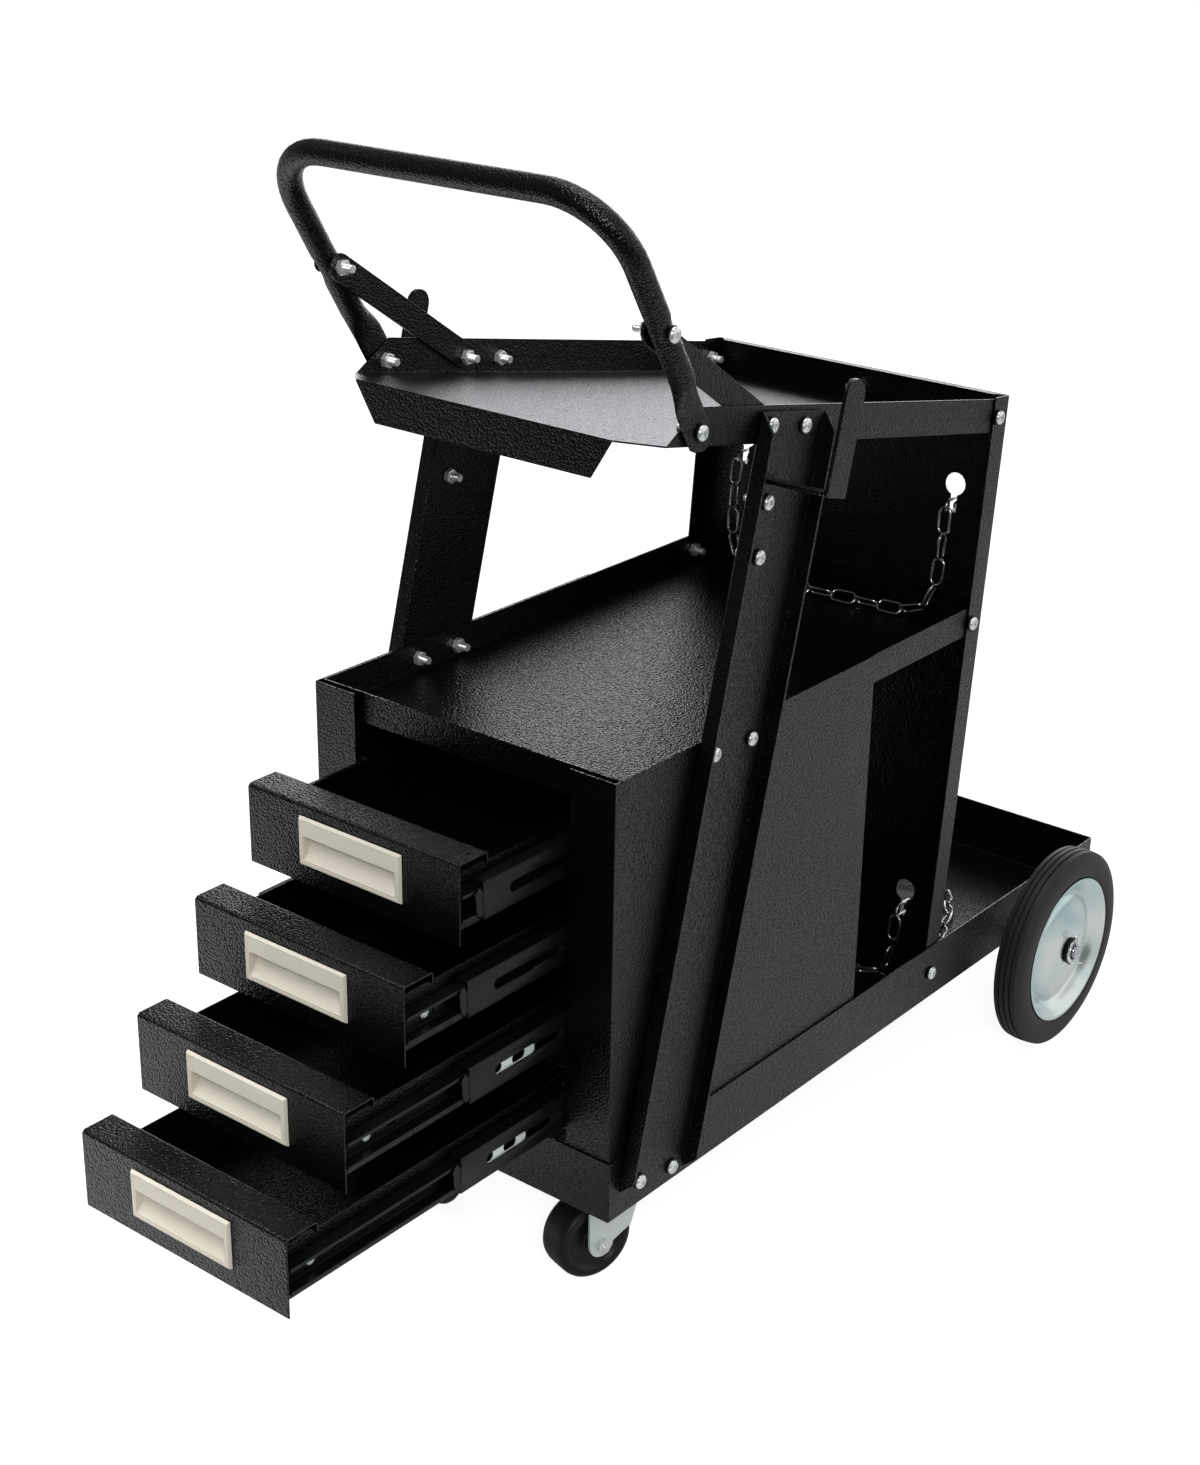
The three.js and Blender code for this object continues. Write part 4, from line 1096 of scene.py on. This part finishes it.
# A thin black ring that goes under each bolt head
bolt_washer = turned("bolt_washer", [
    (0, 3.2), (0, 5.7), (head_ring_edge, 6), (head_ring_thick - head_ring_edge, 6), (head_ring_thick, 5.7),
    (head_ring_thick, 3.2),
], ORIGIN, steps=32)
print("nut and washer:", len(nut.data.polygons), "and", len(bolt_washer.data.polygons), "faces")

# %% Where the bolts sit
leg_lean = 0.00515
leg_face = 142.3
leg_inner = 140.3
hanger_face = leg_face + 3.3


def on_leg(face, height):
    """How far out a face of the leg is at a height, since the legs lean in."""
    return face - (height - pan_wall) * leg_lean


# Each bolt: its y and height, the face under its head and the face under its nut (None where it is hidden)
BOLTS = [
    (31.2, 21.8, on_leg(leg_face, 21.8), None),
    (68.8, 15.4, on_leg(leg_face, 15.4), None),
    (105.9, 328, on_leg(leg_face, 328), 135.8),
    (149.3, 325.9, on_leg(leg_face, 325.9), 135.8),
    (144.7, 460.8, on_leg(hanger_face, 460.8), on_leg(leg_inner, 460.8)),
    (152.5, 497.6, on_leg(hanger_face, 497.6), on_leg(leg_inner, 497.6)),
    (159.1, 548.7, on_leg(leg_face, 548.7), 133.0),
    (198.4, 540.5, on_leg(leg_face, 540.5), 135.8),
    (465.4, 490.5, 138.5, 135.8),
    (449.6, 326.7, 138.5, 135.8),
    (425, 24.6, 140, 137.3),
    (78, 561, 141.3, 135.8),
    (33.5, 634, 150.6, 133.0),
]

# %% Setting the bolts
bolt_spin = 0.7
rear_bolt = 489


def set_bolts(side, mirror):
    """Heads, nuts and black rings of one side, each bolt tightened to a turn of its own."""
    heads, nuts, washers = [], [], []
    for i, (y, height, head_face, nut_face) in enumerate(BOLTS):
        spin = Matrix.Rotation(bolt_spin * i, 4, "X")
        seat = mirror @ Matrix.Translation(place(head_face, y, height))
        washers.append(copied(bolt_washer, "washer", seat))
        seat = mirror @ Matrix.Translation(place(head_face + head_ring_thick, y, height))
        heads.append(copied(head, "head", seat @ spin))
        if nut_face is not None:
            seat = mirror @ Matrix.Translation(place(nut_face, y, height))
            nuts.append(copied(nut, "nut", seat @ Matrix.Rotation(math.pi, 4, "Z") @ spin))
    dressed(join(heads, side + "_bolt_heads"), bolt_zinc, "cart_frame")
    dressed(join(nuts, side + "_nuts"), bolt_zinc, "cart_frame")
    dressed(join(washers, side + "_bolt_washers"), slide_black, "cart_frame")


for side, mirror in SIDES.items():
    set_bolts(side, mirror)
bpy.data.objects.remove(bolt_washer)
for master, name, y, turn in (
    (nut, "rear_panel_nut", rear_face(rear_bolt), -math.pi / 2),
    (head, "rear_panel_bolt_head", rear_face(rear_bolt) + sheet, math.pi / 2),
):
    seat = Matrix.Translation(place(0, y, rear_bolt)) @ Matrix.Rotation(turn, 4, "Z")
    dressed(copied(master, name, seat), bolt_zinc, "cart_frame")
print("bolts:", 2 * len(BOLTS) + 1)

# %% Caster bolts
fork_face = 20.3
shank_end = 26.5
shank = turned("shank", [
    (-fork_face, 0.3), (-fork_face, 2.9), (25.6, 2.9), (shank_end, 2.2), (shank_end, 0.3),
], ORIGIN, steps=20)
close_ends(shank)
outer_nut = copied(plain_nut, "outer_nut", Matrix.Translation((fork_face * mm, 0, 0)))
inward = Matrix.Translation((-fork_face * mm, 0, 0)) @ Matrix.Rotation(math.pi, 4, "Z")
inner_head = copied(head, "inner_head", inward)
caster_bolt = join([shank, outer_nut, inner_head], "caster_bolt")
caster_bolt.data.transform(caster_place)
both_sides("caster_bolt", caster_bolt, bolt_zinc, "{side}_caster_swivel", "caster_axle")

# %% [markdown]
# ## Slide details
# Seen from the side, the drawer members of the slides have a screw in a round hole, narrow notches and a
# longer hole that the press left, and each middle member ends in a black catch. The holes are cut by blocks
# with rounded edges in one Boolean. They could be dark patches in the finish, but a hole keeps its shadow
# under any light. Each middle member has a long slot, and the zinc plated cage that spaces the balls shows
# through it.

# %% Holes in the drawer members
# A slot's ends are rounded by this share of its smaller side
slot_rounding = 0.48
cutter_deep = 3
web_middle = 87.1 * mm
# Each hole: how far it lies behind the front's face, its length and its height, in millimetres
MEMBER_HOLES = [(29, 8.4, 8.4), (37, 1.2, 9), (52, 9, 5), (114, 5, 4.4), (122, 1.2, 9)]


def rounded_block(spot, size):
    """A block, sized in millimetres, whose edges along X are rounded to make a round-ended slot."""
    piece = block(spot, [s * mm for s in size])
    open_mesh(piece)
    pick("edges", lambda edge: abs(edge.verts[0].co.x - edge.verts[1].co.x) > merge_gap)
    bpy.ops.mesh.bevel(offset=min(size[1:]) * slot_rounding * mm, segments=5)
    close_mesh()
    return piece


def drawer_shift(number):
    """From the top drawer's place to another drawer's."""
    return Matrix.Translation(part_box(f"drawer_{number}_front")[0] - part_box("drawer_1_front")[0])


slide_level = centre_of("right_slide_1_member").z
cutters = []
for back, length, tall in MEMBER_HOLES:
    spot = (web_middle, front_face + back * mm, slide_level)
    cutters.append(rounded_block(spot, (cutter_deep, length, tall)))
cutter = join(cutters, "member_cutter")
for number in DRAWERS:
    for side, mirror in SIDES.items():
        punch = copied(cutter, "punch", mirror @ drawer_shift(number))
        cut(bpy.data.objects[f"{side}_slide_{number}_member_folded"], punch)
bpy.data.objects.remove(cutter)
print("holes per member:", len(MEMBER_HOLES))

# %% Slots and ball cages
slot_start = 26
slot_long = 42
slot_tall = 8
slot_deep = 4
cage_depth = 1.9 * mm
cage_thick = 0.8 * mm
cage_long = 54 * mm
cage_tall = 13.6 * mm
window_tall = slot_tall - 0.4
# Each window of the cage: its middle behind the slot's start, and its length
CAGE_WINDOWS = [(-1, 19), (25.6, 13.6)]
# How much farther back the cage stands in each drawer's slides
CAGE_BACK = {1: 82, 2: 82, 3: 0, 4: 0}
for number in DRAWERS:
    middle_low, middle_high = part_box(f"right_slide_{number}_middle")
    level = centre_of(f"right_slide_{number}_middle").z
    start = middle_low.y + slot_start * mm
    cage_start = start + CAGE_BACK[number] * mm
    slot = rounded_block(
        (middle_high.x, start + slot_long / 2 * mm, level), (slot_deep, slot_long, slot_tall),
    )
    cage_x = middle_high.x - cage_depth
    cage_middle = cage_start + slot_long * mm - cage_long / 2
    cage = block((cage_x, cage_middle, level), (cage_thick, cage_long, cage_tall))
    for window, length in CAGE_WINDOWS:
        spot = (cage_x, cage_start + window * mm, level)
        cut(cage, rounded_block(spot, (cutter_deep, length, window_tall)))
    for side, mirror in SIDES.items():
        cut(bpy.data.objects[f"{side}_slide_{number}_middle_folded"], copied(slot, "punch", mirror))
    bpy.data.objects.remove(slot)
    cages = join([cage, copied(cage, "cage", SIDES["left"])], f"drawer_{number}_ball_cages")
    dressed(cages, fork_zinc, f"drawer_{number}_stage")
print("cages:", 2 * len(CAGE_BACK))

# %% One catch
catch_thick = 0.8 * mm
catch_tall = 21 * mm
catch_long = 9 * mm
catch_rim = 1.6 * mm
catch_dish = 0.4 * mm
hook_start = 4 * mm
hook_reach = 1.5 * mm

catch = added(
    bpy.ops.mesh.primitive_cylinder_add, stretch=(catch_tall, catch_long, catch_thick), vertices=24,
    radius=0.5, depth=1, rotation=(0, math.pi / 2, 0),
)
open_mesh(catch)
pick("faces", lambda face: face.normal.x > square_on)
bpy.ops.mesh.inset(thickness=catch_rim)
bpy.ops.transform.translate(value=(-catch_dish, 0, 0))
pick("verts", lambda v: v.co.z > hook_start)
bpy.ops.transform.translate(value=(0, -hook_reach, 0))
close_mesh()
print("catch:", len(catch.data.polygons), "faces")

# %% Screws and catches
screw_share = 0.69
catch_ahead = catch_long * 0.3
box_side = 87 * mm
screw_spot = (box_side, front_face + MEMBER_HOLES[0][0] * mm, slide_level)
for number in DRAWERS:
    middle_low, middle_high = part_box(f"right_slide_{number}_middle")
    level = centre_of(f"right_slide_{number}_middle").z
    catch_spot = (middle_high.x - catch_thick / 2, middle_low.y - catch_ahead, level)
    screws, catches = [], []
    for mirror in SIDES.values():
        spot = drawer_shift(number) @ Matrix.Translation(screw_spot) @ Matrix.Scale(screw_share, 4)
        screws.append(copied(head, "screw", mirror @ spot))
        catches.append(copied(catch, "catch", mirror @ Matrix.Translation(catch_spot)))
    screws = join(screws, f"drawer_{number}_slide_screws")
    dressed(screws, fork_zinc, f"drawer_{number}")
    catches = join(catches, f"drawer_{number}_slide_catches")
    dressed(catches, slide_black, f"drawer_{number}_stage")
for master in (head, nut, plain_nut, catch):
    bpy.data.objects.remove(master)
print("screws and catches:", 2 * len(DRAWERS), "each")

# %% [markdown]
# ## Floor
# The cart stands on a plain pale studio floor. A floor that is lit up to white would throw light on the cart
# from below, so this one is told apart by its Light Path. The camera sees it nearly white, with the cart's
# soft shadow. Glossy paint sees it pale near the cart and dark farther to the front, which keeps the drawer
# fronts black: that fade is painted shade, as if less lamp light reached the floor away from the cart.
# Every other ray finds plain grey.

# %% Floor
floor_radius = 30
floor_grey = (0.46, 0.46, 0.46, 1)
# Painted shade in the floor that glossy rays see: pale near the cart and dark farther to the front
mirrored_near = (0.84, 0.84, 0.84, 1)
mirrored_far = (0.06, 0.06, 0.06, 1)
fade_start = 0.5
fade_end = 0.85
fade_slant = 0.35
floor_glow = 0.88
mirrored_glow = 0.02
floor_roughness = 0.9
WHITE = (1, 1, 1, 1)


def whiteness(tree, direct, mirrored):
    """One strength for rays from the camera and through glass, and another for rays from glossy faces."""
    path = add_node(tree, "LightPath").outputs
    straight = math_node(tree, "MAXIMUM", path["Is Camera Ray"], path["Is Transmission Ray"])
    return math_node(
        tree, "MAXIMUM", math_node(tree, "MULTIPLY", straight, direct),
        math_node(tree, "MULTIPLY", path["Is Glossy Ray"], mirrored),
    )


def to_glossy(tree, others, glossy):
    """One colour for rays from glossy faces, and another for all other rays."""
    return mixed(tree, add_node(tree, "LightPath").outputs["Is Glossy Ray"], others, glossy)


floor = added(bpy.ops.mesh.primitive_circle_add, vertices=64, radius=floor_radius, fill_type="NGON")
floor.name = "floor"
floor_white, tree, shader = new_finish("floor_white")
spot = add_node(tree, "SeparateXYZ", Vector=add_node(tree, "NewGeometry").outputs["Position"]).outputs
forward = math_node(tree, "SUBTRACT", math_node(tree, "MULTIPLY", spot["X"], fade_slant), spot["Y"])
mirrored = mixed(tree, ranged(tree, forward, start=fade_start, end=fade_end), mirrored_near, mirrored_far)
feed(
    tree, shader, Base_Color=to_glossy(tree, floor_grey, mirrored), Roughness=floor_roughness,
    Specular_IOR_Level=0.0, Emission_Color=WHITE,
    Emission_Strength=whiteness(tree, floor_glow, mirrored_glow),
)
floor.data.materials.append(floor_white)
print("floor:", 2 * floor_radius, "m across")

# %% [markdown]
# ## World
# The room is white to the camera, and a soft grey light to dull faces. Black gloss shows what it mirrors, and
# a white room all round would turn the cart grey. A studio hangs dark cloths for that. Here the world itself
# is dark to glossy rays overhead, far to the left and in front, and white behind the cart, which the tops of
# the trays mirror.

# %% World
room_grey = (0.36, 0.36, 0.37, 1)
cloth_grey = (0.15, 0.15, 0.15, 1)
# Each dark cloth: the part of the direction that it is hung by, where white ends and where dark begins
CLOTHS = [("Z", 0.4, 0.75), ("X", -0.63, -0.72), ("Y", 0.1, -0.2)]
world = bpy.data.worlds.new("studio")
bpy.context.scene.world = world
world.use_nodes = True
tree = world.node_tree
direction = add_node(tree, "SeparateXYZ", Vector=add_node(tree, "TexCoord").outputs["Generated"]).outputs
dark = 0.0
for axis, white_end, dark_start in CLOTHS:
    dark = math_node(tree, "MAXIMUM", dark, ranged(tree, direction[axis], start=white_end, end=dark_start))
lit = to_glossy(tree, room_grey, mixed(tree, dark, WHITE, cloth_grey))
feed(tree, tree.nodes["Background"], Color=mixed(tree, whiteness(tree, 1, 0), lit, WHITE))
print("world:", len(CLOTHS), "dark cloths")

# %% [markdown]
# ## Soft boxes
# Four area lamps stand for studio soft boxes. One lamp could light the cart, but each face needs a lamp of
# its own to mirror: a large one behind for the trays and the shelf, one overhead, a small one over the floor
# that the drawer fronts mirror, and a fill beside the camera. The one behind is a little violet, as the trays
# show it.

# %% Soft boxes
# Each soft box: where it stands, what it is turned to, its width and height, and its power in watts
SOFT_BOXES = {
    "back_box": ((-2.0, 3.1, 0.9), (0, 0, 0.5), (2.9, 1.8), 31),
    "top_box": ((0.2, 0.2, 2.6), (0, 0, 0.4), (1.6, 1.6), 25),
    "front_box": ((-0.5, -1.0, 1.4), (-0.45, -0.95, 0), (0.8, 0.8), 6),
    "fill_box": ((1.8, -2.0, 1.9), (0, 0, 0.4), (0.6, 0.6), 28),
}
lamps = {}
for name, (spot, aim, size, power) in SOFT_BOXES.items():
    bpy.ops.object.light_add(type="AREA", location=spot)
    lamp = bpy.context.object
    lamp.name = name
    lamp.data.shape = "RECTANGLE"
    lamp.data.size, lamp.data.size_y = size
    lamp.data.energy = power
    lamp.rotation_euler = (Vector(aim) - Vector(spot)).to_track_quat("-Z", "Y").to_euler()
    lamps[name] = lamp.data
lamps["back_box"].color = (0.955, 0.93, 1)
lamps["front_box"].spread = math.radians(85)
bpy.context.scene.view_settings.view_transform = "Standard"
print("lamps:", ", ".join(lamps))
